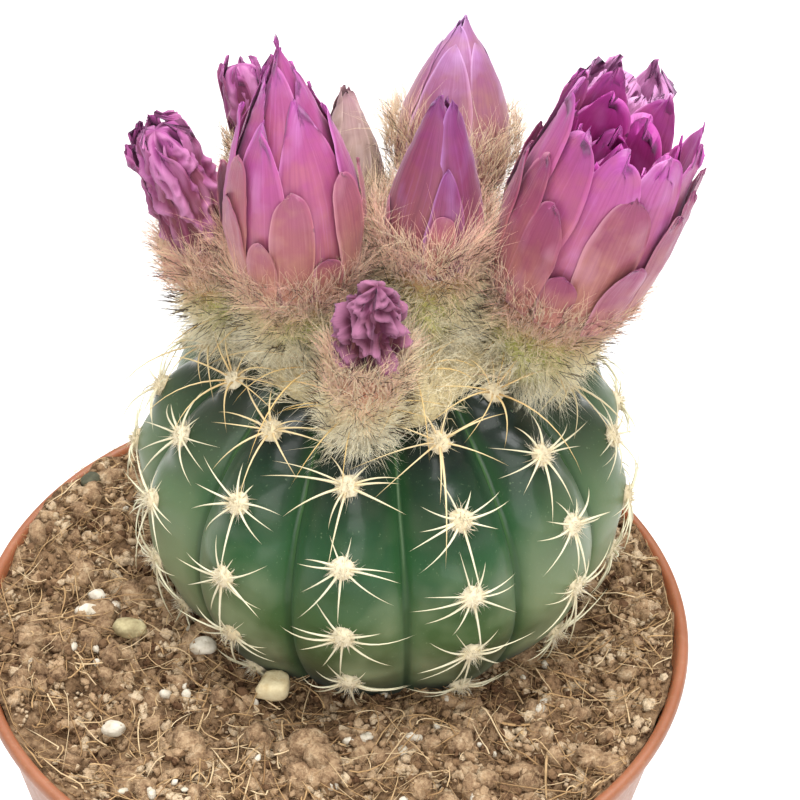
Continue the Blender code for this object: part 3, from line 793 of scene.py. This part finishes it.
def fur(name, root, heading, length, shade, radius=0.05 * MM, ruffle=0.35, clump=0.45, finish=None, steps=1):
    """Wool: each hair follows its heading, pulled into tufts by a slow noise and bent at random."""
    pull = [speckle(root, 1.7 * MM, seed) + 0.6 * speckle(root, 0.7 * MM, seed + 9) for seed in (31, 32, 33)]
    pull = np.stack(pull, -1)
    heading = unit(heading + clump * pull + 0.16 * luck.normal(size=root.shape))
    bend = ruffle * (luck.normal(size=root.shape) + np.roll(pull, 1, 1)) - [0, 0, 0.12]
    shade = np.clip(shade, 0, 0.985)
    return strands(name, root, heading, length, radius, finish or fluff_finish, bend, steps, shade=shade)


cushion_finish = core_finish("crown felt", (0.0, (206, 192, 152)), (1.0, (226, 212, 172)))
lobes = np.arange(72) * 2 * np.pi / 72
lobe_reach = WOOL_REACH * (1 + 0.06 * np.sin(3 * lobes + 0.7) + 0.05 * np.sin(7 * lobes))


def crown_points(reach, turn, lift):
    """Points over the crown: a distance from the plant's axis, a turn from the front, and a lift."""
    height = CROWN_HEIGHT * np.sqrt(1 - (reach / GLOBE_RADIUS) ** 2) + lift
    return in_pot(np.stack([reach * np.sin(turn), -reach * np.cos(turn), height], -1))


shares = np.linspace(1, 0.05, 16)[:, None]
lift = WOOL_THICKNESS * (1 - shares**3) - 0.2 * MM
dome = crown_points(lobe_reach * shares, np.broadcast_to(lobes, (16, 72)), lift)
dome = dome + 0.5 * MM * speckle(dome, 2.5 * MM, 21)[..., None]
buried = crown_points(lobe_reach * 0.9, lobes, -3 * MM)
rings = np.concatenate([buried[None], dome])[None]
cushion = skins("crown_felt", buried.mean(0), rings, dome[-1].mean(0), cushion_finish)
hold(cushion, "crown_wool_fibre", "crown_wool")

CROWN_HAIRS = 6500
turn = any_turn(CROWN_HAIRS)
share = luck.uniform(0.3, 1.06, CROWN_HAIRS) ** 0.6
reach = np.interp(turn, lobes, lobe_reach, period=2 * np.pi) * np.minimum(share, 1.03)
root = crown_points(reach, turn, WOOL_THICKNESS * (1 - np.minimum(share, 1) ** 3) - 0.3 * MM)
outward = unit(root - in_pot((0, 0, CROWN_HEIGHT - 26 * MM)))
shade = 0.12 + 0.12 * luck.normal(size=CROWN_HAIRS) + 0.15 * speckle(root, 4 * MM, 41)
wool = fur("crown_wool_hair", root, outward, luck.uniform(2.5, 5, CROWN_HAIRS) * MM, shade)
hold(wool, "crown_wool_fibre", "crown_wool")

# --- Flower tubes ------------------------------------------------------------------------------------
# Each flower, bud and withered flower stands on a thick green tube that grows from the crown. Wool and
# thin dark bristles cover it: white and fluffy at the foot, thinner where the green shows, tan on top.


class Flower:
    """Where a flower stands: its foot on the crown, the way it points, and its front and right directions.

    The tube and the cup are (height, radius) pairs in millimetres; tan is how far the wool's colour goes from
    cream to dusty pink at the top, and hairs is how many it has.
    """

    def __init__(self, turn, reach, tip, tan, hairs, tube, cup):
        self.foot = crown_points(reach * MM, math.radians(turn), 0)
        self.up = unit(np.array(tip) * MM - self.foot)
        self.front = unit(np.array([0, -1, 0]) + self.up * self.up[1])
        self.right = np.cross(self.up, self.front)
        self.tan, self.hairs = tan, hairs
        self.tube, self.cup = (np.array(pairs).T * MM for pairs in (tube, cup))

    def at(self, turn, radius, height):
        """Points at a turn about the flower, a distance from its axis and a height up it."""
        turn, radius, height = (np.asarray(each)[..., None] for each in (turn, radius, height))
        return self.foot + height * self.up + radius * (np.cos(turn) * self.front + np.sin(turn) * self.right)


FLOWERS = {
    "front_left_flower": Flower(
        -65, 11, (-7.6, 3.5, 173), 1.0, 7500, ((-3, 3.5), (1, 6), (6, 7.4), (11, 8.0), (14, 7.8)),
        ((0, 6.5), (10, 7.6), (16, 8.3), (21, 8.7), (25, 8.4), (29, 7.5), (33, 6.0), (37, 4.3), (41, 2.6), (45, 1),
         (47, 0.3)),
    ),
    "right_flower": Flower(
        78, 21, (38.5, 5, 171), 1.0, 7800, ((-5, 4), (0, 6.5), (6, 7.8), (10, 8.4), (14, 8.6)),
        ((0, 6.4), (9, 7.6), (13, 8.8), (18, 9.9), (24, 10.4), (31, 9.8), (38, 8.6), (44, 7.4), (48, 6.4)),
    ),
    "front_bud": Flower(
        54, 8, (12.9, 6, 166.3), 0.95, 7500, ((-3, 4), (2, 6), (8, 6.6), (14, 6.4), (17, 6.2)),
        ((0, 6.0), (15, 6.2), (19, 6.1), (23, 5.3), (27, 4.1), (31, 2.7), (35, 1.2), (37.3, 0.3)),
    ),
    "back_bud": Flower(
        134, 12, (15.4, 26, 168.1), 0.62, 5500, ((-3, 3.5), (4, 5.2), (12, 6.4), (18, 7.0), (23, 6.9)),
        ((0, 6.0), (17, 7.4), (22, 7.8), (27, 6.9), (31, 5.3), (35, 3.2), (38, 1.1), (39.5, 0.3)),
    ),
    "small_back_bud": Flower(
        -157, 9, (-0.4, 30, 155.6), 0.62, 4000, ((-3, 3), (3, 4.2), (8, 4.4), (13, 4.0)),
        ((0, 4.0), (12, 4.7), (16, 4.5), (20, 3.6), (24, 2.0), (28, 0.3)),
    ),
    "left_withered_flower": Flower(
        -95, 19, (-25.5, 14, 157.3), 0.95, 6000, ((-3, 3), (2, 5.0), (8, 6.0), (12, 5.8), (15, 4.8)),
        ((0, 3.6), (13, 4.3), (18, 4.6), (24, 4.2), (29, 3.8), (33, 3.2), (35, 1.2)),
    ),
    "back_left_withered_flower": Flower(
        -122, 18, (-15.5, 29, 161), 0.7, 3600, ((-3, 3), (4, 4.0), (12, 3.8), (18, 3.2), (22, 2.2)),
        ((0, 1.6), (20, 2.0), (26, 2.3), (31, 2.8), (34, 2.6), (36, 1.0)),
    ),
    "back_right_withered_flower": Flower(
        112, 20, (41.2, 28, 162), 0.7, 4500, ((-3, 3), (4, 4.6), (12, 5.0), (18, 5.0), (24, 4.6)),
        ((0, 4), (20, 4.8), (28, 5.4), (34, 5.6), (38, 4.6), (40, 2)),
    ),
    "front_withered_flower": Flower(
        -6, 19.5, (5.4, -8.5, 147.7), 0.8, 6500, ((-6, 2.8), (-2, 4.4), (3, 4.6), (7, 4.3), (9.5, 3.6)),
        ((6, 1.8), (8, 2.5), (11, 3.0), (14, 3.2), (17, 3.1), (19.5, 2.5), (21.5, 1.0)),
    ),
}
short_felt = core_finish("short tube felt", (0.0, (248, 240, 214)), (0.5, (240, 218, 184)), (0.8, (214, 160, 134)),
                         (1.0, (190, 120, 104)))
tube_finish = core_finish("tube felt", (0.0, (244, 234, 200)), (0.35, (214, 208, 150)), (0.55, (172, 174, 102)),
                          (0.75, (184, 146, 112)), (1.0, (180, 122, 100)))


def sprout(flower, turn, height, off, rise):
    """Roots on a tube, a distance off its felt, and headings out from its axis with a share of rise."""
    radius = np.interp(height, *flower.tube) + off
    outward = np.cos(turn)[:, None] * flower.front + np.sin(turn)[:, None] * flower.right
    heading = outward + np.broadcast_to(rise, height.shape)[:, None] * flower.up
    return flower.at(turn, radius, height), unit(heading)


for name, flower in FLOWERS.items():
    holder = ("flower_tube_wool", name + "_tube")
    hairs, (low, high) = flower.hairs, flower.tube[0][[0, -1]]
    rows = np.linspace(low, high, 24)
    turns = np.broadcast_to(np.arange(48) * 2 * np.pi / 48, (24, 48))
    outline = np.interp(rows, *flower.tube)[:, None] * 0.92
    rings = flower.at(turns, outline, rows[:, None])
    rings = flower.at(turns, outline + 0.4 * MM * speckle(rings, 2.2 * MM, 22), rows[:, None])
    felt = short_felt if name == "front_withered_flower" else tube_finish
    hold(skins(name + "_felt", flower.at(0, 0, low), rings[None], flower.at(0, 0, high), felt), *holder)

    fine = MM * min(1, flower.tube[1].max() / (6 * MM))
    way, turn = luck.uniform(0.02, 1, hairs), any_turn(hairs)
    rise = np.interp(way, (0, 0.3, 0.7, 1), (-0.5, 0, 0.6, 1.6))
    root, heading = sprout(flower, turn, low + way * (high - low), -0.4 * MM, rise)
    length = luck.uniform(0.6, 1.1, hairs) * np.interp(way, (0, 0.3, 0.5, 1), (5.2, 4.2, 3.0, 3.8)) * fine
    band = np.interp(way, (0, 0.4, 0.6, 0.8, 1), (0.0, 0.1, 0.26, 0.62, 0.85)) * flower.tan
    shade = band + 0.09 * luck.normal(size=hairs) + 0.14 * speckle(root, 2.6 * MM, 42)
    hold(fur(name + "_wool", root, heading, length, shade, 0.047 * MM, clump=0.6), *holder)

    # Silky tufts that stand up round the petals' feet.
    count = hairs // 4
    turn, height = any_turn(count), high + luck.uniform(-4, 2.5, count) * MM
    off = np.maximum(np.interp(height, *flower.cup) - np.interp(height, *flower.tube), 0)
    off += luck.uniform(0.7, 1.7, count) * MM
    root, heading = sprout(flower, turn, height, off, luck.uniform(2.5, 8, count))
    shade = flower.tan * (0.7 + 0.2 * luck.normal(size=count)) + 0.2 * speckle(root, 2.2 * MM, 43)
    length = luck.uniform(3, 7, count) * fine * (1 + 0.5 * speckle(root, 3 * MM, 44))
    hold(fur(name + "_tufts", root, heading, length, shade, 0.038 * MM, 0.25, 0.5, steps=2), *holder)

    count = hairs // 16
    way, turn = luck.uniform(0.4, 1.1, count), any_turn(count)
    root, heading = sprout(flower, turn, low + way * (high - low), 1.4 * MM, 1.3 * way)
    length = luck.uniform(2.6, 5.2, count) * fine
    hold(fur(name + "_bristles", root, heading, length, 0.5, 0.055 * MM, 0.12, 0.3, bristle_finish), *holder)

# --- Petals ------------------------------------------------------------------------------------------
# Petal-like blades round each cup, thin and satin: blunt salmon-pink ones outside, broad pointed magenta
# ones inside with torn edges. They grow from the tube's rim and lie over one another like roof tiles.


BLADE_THICKNESS = 0.24 * MM
BLADE_COLUMNS = 13


def petal_finish(name, foot, middle, tip, edge, dark, dry=0.0, sheen=0.2):
    """Satin petal: its colour changes along the blade, paler at the edges, with fine veins, painted shade in
    creases and a painted highlight on ridges.
    """
    finish = Finish(name, Specular_IOR_Level=0.4 - 0.25 * dry, Sheen_Weight=sheen, Sheen_Roughness=0.45,
                    Sheen_Tint=(232, 206, 240))
    way, around = finish.chart("Along")
    fold = finish.node("ShaderNodeAttribute", {"attribute_name": "Fold"}, None, "Fac")
    blade = {"W": around.math("FLOOR")}
    own = finish.node("ShaderNodeTexWhiteNoise", {"noise_dimensions": "1D"}, blade, "Value")
    rim = abs((around * 2).math("FRACT") - 0.5) * 2
    streaks = finish.node("ShaderNodeCombineXYZ", None, {0: way * 1.6, 1: around * 40})
    vein = finish.noise(1.0, 3, 0.6, streaks)
    cloud, warm = finish.noise(2.4 * MM, 3), finish.noise(3.6 * MM, 3, 0.5)
    spot = way + (cloud - 0.5) * 0.4 + (own - 0.5) * 0.16
    colour = finish.ramp(spot, (0.1, foot), (0.5, middle), (0.92, tip))
    colour = finish.mix(finish.span(warm, 0.5, 0.72, 0, 0.4), colour, foot)
    colour = finish.mix(finish.span(vein, 0.45, 0.72, 0, 0.35), colour, dark)
    colour = finish.mix(finish.span(vein, 0.42, 0.28, 0, 0.25), colour, edge)
    # Painted shade in the creases and painted highlight on the ridges, stronger the drier the petal.
    colour = finish.mix(finish.span(fold, 0.42, 0.0, 0, 0.2 + 0.7 * dry), colour, dark)
    colour = finish.mix(finish.span(fold, 0.6, 1.0, 0, 0.3 + 0.35 * dry), colour, edge)
    finish.colour(finish.mix(finish.span(rim, 0.8, 1.0, 0, 0.5), colour, edge))
    finish.rough(finish.span(vein, 0.3, 0.7, 0.36 + 0.4 * dry, 0.5 + 0.4 * dry))
    finish.bump(vein, 0.14 * MM, 0.5)
    return finish


# Each finish takes foot, middle, tip, edge and dark colours; the dark one also paints shade in creases and the
# edge one paints highlights on ridges.
sepal = petal_finish("salmon petal", (184, 134, 110), (158, 88, 98), (152, 78, 112), (194, 140, 152),
                     (128, 56, 80))
rose = petal_finish("rose petal", (172, 114, 100), (142, 66, 92), (142, 60, 106), (194, 138, 158),
                    (112, 40, 70))
petal = petal_finish("magenta petal", (176, 102, 110), (168, 78, 130), (174, 76, 158), (196, 132, 190),
                     (124, 40, 94))
throat = petal_finish("dark magenta petal", (160, 56, 104), (178, 54, 138), (196, 74, 172), (220, 140, 206),
                      (128, 32, 92))
violet = petal_finish("violet petal", (138, 78, 82), (130, 56, 98), (134, 60, 128), (160, 112, 172),
                      (72, 22, 50))
lilac = petal_finish("lilac petal", (166, 124, 102), (146, 86, 118), (174, 122, 178), (190, 152, 196),
                     (118, 60, 98), sheen=0.3)
dry = petal_finish("dry pink petal", (166, 146, 130), (166, 140, 136), (162, 122, 136), (190, 168, 166),
                   (122, 96, 94), 1.0)


def blades(name, table, finish, fray=0.0, crumple=0.2, blunt=6.0, shade=0.0, rows=26):
    """Blades laid round a flower's cup; the name starts with the flower's own, before two underscores.

    The table's columns are: turn from the front in degrees, height of the foot, height of the tip, half
    width, distance off the cup, how far the tip bends out, how far one edge lifts over its neighbour, all
    in millimetres. A blade widens from its foot and rounds off towards its tip, more bluntly the higher
    its power.
    """
    flower = FLOWERS[name.split("__")[0]]
    table = np.array(table, float).T[:, :, None, None] * MM
    turn, (low, high, half, off, flare, tilt) = np.radians(table[0] / MM), table[1:]
    count = len(turn)
    way = np.sin(np.linspace(0.02, 0.97, rows) * np.pi / 2)[None, :, None]
    across = np.linspace(-1, 1, BLADE_COLUMNS)[None, None]
    torn = luck.uniform(0, 1, (count, 1, BLADE_COLUMNS)) * fray
    sway = luck.normal(size=(count, 1, 1)) * 0.05
    own = np.arange(count)[:, None, None] * 7.3 + shade

    def sheet(way, across, torn, side):
        """One face of every blade, side 1 for the outer and -1 for the inner, with its folds from 0 to 1."""
        height = low + (high - low) * way * (1 - torn * way**4)
        radius = np.interp(height, *flower.cup) + off + flare * way**3 + tilt * across * (0.3 + 0.7 * way)
        shape = 0.5 + 0.5 * np.sin(np.minimum(way / 0.62, 1) * np.pi / 2)
        shape = shape * (1 - way**blunt) ** (0.5 if blunt > 4 else 0.8)
        place = np.stack(np.broadcast_arrays(way * 5, own, np.sign(across) + own), -1)
        angle = half * shape * across * (1 + 0.09 * speckle(place, 1, 53)) / np.maximum(radius, MM)
        angle = turn + 1.9 * np.tanh(angle / 1.9) + sway * way**2
        body = side * BLADE_THICKNESS / 2 * np.sqrt(np.maximum(1 - across**4, 0)) * (1.1 - 0.6 * way)
        angle, radius, height = np.broadcast_arrays(angle, radius, height)
        lie = np.stack([angle * radius, height * 0.32, radius + own * MM], -1)
        ripple = speckle(lie, 1.9 * MM, 51) + 0.5 * speckle(lie * [1, 2, 1], 0.9 * MM, 52)
        radius = radius + body + crumple * MM * ripple * (0.3 + way)
        return flower.at(angle, radius, height), np.clip(0.5 + ripple * 0.5, 0, 1)

    # The folds go to the petal finish as Fold, for painted shade in creases and painted highlight on ridges.
    outer, outer_fold = sheet(way, across, torn, 1)
    inner, inner_fold = sheet(way, across[..., ::-1], torn[..., ::-1], -1)
    start = (outer + inner)[:, 0, BLADE_COLUMNS // 2] / 2
    tip = sheet(np.ones((1, 1, 1)), np.zeros((1, 1, 1)), torn.min(2, keepdims=True), 0)[0][:, 0, 0]
    return skins(name, start, np.concatenate([outer, inner], 2), tip, finish, np.arange(count) + shade,
                 fold=np.concatenate([outer_fold, inner_fold], 2))


def whorl(count, first, low, high, half, off, flare, tilt, jitter=1.0):
    """A ring of blades at even turns, each a little different."""
    wild = luck.uniform(-1, 1, (count, 7)) * [5, 0.8, 1.2, 0.4, 0.15, 0.3, 0.1] * jitter
    turns = first + np.arange(count) * 360 / count
    return np.column_stack([turns, np.tile([low, high, half, off, flare, tilt], (count, 1))]) + wild


def outer_petals(name, table, finish, **more):
    hold(blades(name, table, finish, **more), "outer_tepal_pink", name.split("__")[0] + "_outer_tepals")


def inner_petals(name, table, finish, **more):
    hold(blades(name, table, finish, **more), "inner_tepal_magenta", name.split("__")[0] + "_inner_tepals")


# The front left flower, a cone that begins to open, with five separate outer petals on this side.
outer_petals(
    "front_left_flower__front",
    ((-52, 11, 33.5, 2.7, 0.7, 0.6, 0.2), (-25, 11, 23, 2.2, 1.1, 0.3, 0.1), (2, 12, 30, 3.1, 0.9, 0.2, -0.1),
     (58, 12, 31, 2.7, 0.9, 0.7, 0.2), (32, 11, 19.5, 2.2, 0.8, 0.2, 0.1)),
    sepal, fray=0.04,
)
back = whorl(7, 100, 12, 29, 3.0, 0.7, 0.5, 0.2)[:5]
outer_petals("front_left_flower__back", back, sepal, fray=0.05, shade=9)
inner_petals(
    "front_left_flower__broad",
    ((-30, 11, 38, 6.0, 0.3, 0.4, 0.5), (28, 11, 40.5, 6.6, 0.1, 0.3, 0.5), (-80, 11, 39, 5.0, 0.2, 1.1, 0.4),
     (82, 11, 38.5, 5.4, 0.2, 0.9, -0.4), (140, 11, 39, 5.6, 0.2, 0.6, 0.4),
     (-140, 11, 38, 5.6, 0.2, 0.6, 0.4)),
    petal, fray=0.1, blunt=2.4,
)
narrow = whorl(6, 0, 14, 44.5, 5.2, -0.5, 0.3, 0.3)
inner_petals("front_left_flower__narrow", narrow, petal, fray=0.12, blunt=2.2, shade=20)
heart = whorl(3, 30, 14, 46.7, 7.5, -0.9, 0.1, 0.3)
inner_petals("front_left_flower__heart", heart, petal, fray=0.05, blunt=3, shade=40)

# The right flower, the widest one, open at the top and leaning out to the right.
outer_petals(
    "right_flower__front",
    ((-38, 12, 30.5, 3.2, 1, 0.3, 0.2), (12, 13, 35.5, 4, 0.6, 0.4, 0.2), (28, 12, 26, 3.1, 1.3, 0.5, -0.1),
     (-64, 12, 35, 3, 0.8, 0.5, 0.2), (-12, 12, 22, 2.5, 1.0, 0.3, 0.1), (48, 11, 33, 2.2, 1.2, 0.9, 0.2),
     (63, 11, 36, 2.2, 1.2, 1.0, 0.2), (78, 11, 38, 2.4, 1.0, 1.3, 0.2), (94, 12, 36, 2.4, 1.0, 1.2, 0.2)),
    rose, fray=0.05,
)
outer_petals("right_flower__back", whorl(9, 112, 12, 34, 3.2, 0.8, 1.0, 0.2)[:5], rose, fray=0.08, shade=12)
inner_petals(
    "right_flower__broad",
    ((-82, 13, 44.5, 5, 0.4, 0.6, 0.5), (-46, 13, 41.5, 4.6, 0.2, 0.4, 0.4), (-8, 13, 41, 4.6, 0.1, 0.5, 0.4),
     (30, 13, 41.5, 4.4, 0.1, 0.6, 0.4), (64, 13, 42, 4.2, 0.2, 1.2, 0.4), (102, 13, 42, 4.4, 0.2, 1.4, 0.4),
     (146, 13, 41, 4.6, 0.2, 1.0, 0.4), (190, 13, 42, 4.8, 0.2, 1.0, 0.4), (236, 13, 43, 4.8, 0.2, 0.8, 0.4)),
    petal, fray=0.12, blunt=4.8,
)
for part, ring, fray, blunt, shade in (
    ("inner", (7, -60, 15, 39.5, 5.0, -1.4, 0.2, 0.4), 0.18, 5.0, 20),
    ("throat", (5, -40, 15, 36, 4.4, -3.4, 0, 0.4), 0.3, 4.2, 40),
    ("heart", (4, -10, 15, 34, 3.4, -5.6, 0, 0.4), 0.25, 3.6, 60),
):
    inner_petals("right_flower__" + part, whorl(*ring), throat, fray=fray, blunt=blunt, shade=shade)

# The front bud, a cone of three wrapped petals whose dark edges show, with a small petal at its foot.
outer_petals(
    "front_bud__feet",
    ((6, 14, 23, 1.9, 0.75, 0, 0.1), (78, 14, 22, 2.4, 0.4, 0, 0.1), (-80, 14, 22, 2.4, 0.4, 0, 0.1),
     (140, 14, 24, 3.2, 0.4, 0, 0.1), (200, 14, 24, 3, 0.4, 0, 0.1)),
    sepal,
)
inner_petals(
    "front_bud__wrapped",
    ((12, 13, 29, 3.2, 0.45, 0, 0.1), (-50, 13, 37.4, 6.8, 0.15, 0.3, -0.5), (68, 13, 37, 6.8, 0.25, 0.3, 0.5),
     (8, 13, 36.2, 6.6, -0.25, 0.1, 0.1), (160, 13, 36.7, 6.6, 0, 0.1, 0.4)),
    violet, fray=0.05, blunt=2.2,
)

# The back bud, a smooth closed cone, and the small back bud, dry and dull.
wrapped = whorl(5, -20, 17, 36.5, 5.4, 0.2, 0, 0.12, 0.5)
outer_petals("back_bud__wrapped", wrapped, lilac, blunt=2.6, crumple=0.06)
closed = whorl(4, -30, 17, 39.6, 7.4, 0, 0.05, 0.15, 0.4)
inner_petals("back_bud__closed", closed, lilac, fray=0.03, blunt=2.3, crumple=0.06)
closed = blades("small_back_bud__closed", whorl(5, 0, 12, 27.6, 4.8, 0.1, 0.1, 0.25, 0.4), dry, blunt=2.3)
hold(closed, "withered_tepal", "small_back_bud_tepals")

# --- Withered flowers --------------------------------------------------------------------------------
# Four flowers that have faded: their petals have dried to crumpled purple bundles on woolly tubes, one of
# them curled into a tight ball at the front.

faded = petal_finish("withered purple petal", (116, 68, 70), (126, 60, 90), (156, 76, 136), (196, 132, 176),
                     (56, 22, 38), 0.8)
brown = petal_finish("withered brown petal", (104, 62, 58), (86, 38, 56), (98, 46, 74), (176, 118, 150),
                     (14, 4, 8), 1.0)
mauve = petal_finish("withered mauve petal", (184, 126, 152), (190, 122, 170), (202, 138, 188),
                     (220, 172, 212), (146, 80, 132), 0.6)


def bundle(name, finish, low, high, creases, twist, depth, grain, stretch):
    """A dried bundle: the cup's outline with long creases twisting round it, and ridged noise of two sizes."""
    flower = FLOWERS[name.split("__")[0]]
    height = np.linspace(low, high, 80)[:, None] * MM
    turn = np.arange(120)[None] * 2 * np.pi / 120
    radius = np.interp(height, *flower.cup)
    turn, radius, height = np.broadcast_arrays(turn, radius, height)
    place = np.stack([np.cos(turn) * radius, np.sin(turn) * radius, height * stretch], -1)
    bend = np.stack([speckle(place, 3.1 * MM, seed) for seed in (61, 62, 63)], -1)
    place = place + 1.3 * MM * bend
    crease = np.abs(np.sin(creases / 2 * turn + twist * height / MM + 1.1 * bend[..., 0]))
    coarse = 1 - 2 * np.abs(speckle(place, grain * MM, 64))
    fine = 1 - 2 * np.abs(speckle(place, grain * 0.42 * MM, 65))
    relief = 0.45 * (crease - 0.55) + 0.42 * (coarse - 0.3) + 0.2 * (fine - 0.3)
    close = np.sin(np.clip((height - low * MM) / ((high - low) * MM), 0, 1) * np.pi) ** 0.3
    radius = np.maximum(radius + depth * MM * relief, 0.3 * MM) * (0.35 + 0.65 * close)
    # Fold carries the relief into the petal finish, which paints shade in the creases and highlight on the ridges.
    fold = np.clip(0.42 + relief * 1.3, 0, 1)[None]
    foot, tip = (flower.at(0, 0, end * MM) for end in (low, high))
    piece = skins(name, foot, flower.at(turn, radius, height)[None], tip, finish, 0.01, 0.9, fold=fold)
    hold(piece, "withered_tepal", name.split("__")[0] + "_tepals")


def torn_petals(name, table, finish, **more):
    hold(blades(name, table, finish, rows=30, **more), "withered_tepal", name.split("__")[0] + "_tepals")


bundle("left_withered_flower__bundle", faded, 12, 33, 7, 0.16, 2.4, 1.8, 0.5)
ends = whorl(9, 0, 16, 34, 2.3, -0.2, 0.2, 0.5, 1.5)
torn_petals("left_withered_flower__ends", ends, faded, fray=0.2, crumple=0.8, blunt=5)
bundle("back_left_withered_flower__bundle", faded, 17, 34, 5, 0.1, 1.2, 2.0, 0.4)
ends = whorl(6, 0, 20, 35, 1.7, -0.1, 0.1, 0.5)
torn_petals("back_left_withered_flower__ends", ends, faded, fray=0.25, crumple=0.35, blunt=5)
ends = whorl(10, 0, 18, 38.5, 3.2, 0, 0.5, 0.7, 1.6)
torn_petals("back_right_withered_flower__ends", ends, mauve, fray=0.18, crumple=0.7, blunt=5)
heart = whorl(8, 20, 18, 37.5, 3.2, -1.6, 0, 0.7, 1.6)
torn_petals("back_right_withered_flower__heart", heart, mauve, fray=0.2, crumple=0.8, blunt=4.5, shade=20)
bundle("front_withered_flower__ball", brown, 7, 22.0, 5, 0.3, 4.4, 1.7, 0.8)
ends = whorl(5, 30, 9, 19.5, 1.7, 0.1, -0.6, 0.6, 2.4)
torn_petals("front_withered_flower__ends", ends, brown, fray=0.2, crumple=0.9, blunt=5)

# --- Stage -------------------------------------------------------------------------------------------
# A pale floor, a wide soft light overhead, a weaker one in front, and the camera.

CAMERA_PLACE = Vector((8.6 * MM, -196.9 * MM, POT_HEIGHT + 184.3 * MM))
CAMERA_PITCH = math.radians(36.57)
CAMERA_ROLL = math.radians(1.94)
LENS = 81.0

floor_finish = Finish("pale floor", Roughness=0.6)
cloudy = floor_finish.span(floor_finish.noise(0.4, 2), 0.3, 0.7)
floor_finish.colour(floor_finish.mix(cloudy, (249.31, 249.31, 249.31), (251.61, 251.61, 251.61)))
floor_edge = turned([(2.5, -6 * MM), (2.5, -0.2 * MM), (0.5, -0.2 * MM)], 64)[None]
floor = skins("floor", (0, 0, -6 * MM), floor_edge, (0, 0, -0.2 * MM), floor_finish)


def soft_light(name, place, size, power, tint):
    """A square soft box that faces the plant."""
    lamp = bpy.data.lights.new(name, "AREA")
    lamp.size, lamp.energy, lamp.color = size, power, tint
    box = bpy.data.objects.new(name, lamp)
    box.location = place
    box.rotation_euler = (Vector((0, 0, 0.11)) - Vector(place)).to_track_quat("-Z", "Y").to_euler()
    bpy.context.scene.collection.objects.link(box)


soft_light("overhead_light", (0.05, 0.1, 1.0), 0.8, 15.5, (1.0, 1.0, 1.0))
soft_light("front_light", (0.15, -0.95, 0.65), 0.8, 6.2, (1.0, 0.99, 0.97))

world = bpy.data.worlds.new("studio")
world.use_nodes = True
sky = world.node_tree.nodes["Background"].inputs
sky["Color"].default_value, sky["Strength"].default_value = (1.0, 0.985, 0.96, 1), 0.56
bpy.context.scene.world = world
bpy.context.scene.view_settings.view_transform = "Standard"

lens = bpy.data.cameras.new("camera")
lens.lens, lens.clip_start = LENS, 0.01
camera = bpy.data.objects.new("camera", lens)
ahead = Vector((0, math.cos(CAMERA_PITCH), -math.sin(CAMERA_PITCH)))
level_right = Vector((1, 0, 0))
level_up = level_right.cross(ahead)
right = level_right * math.cos(CAMERA_ROLL) + level_up * math.sin(CAMERA_ROLL)
up = level_up * math.cos(CAMERA_ROLL) - level_right * math.sin(CAMERA_ROLL)
camera.matrix_world = Matrix.Translation(CAMERA_PLACE) @ Matrix((right, up, -ahead)).transposed().to_4x4()
bpy.context.scene.collection.objects.link(camera)
bpy.context.scene.camera = camera
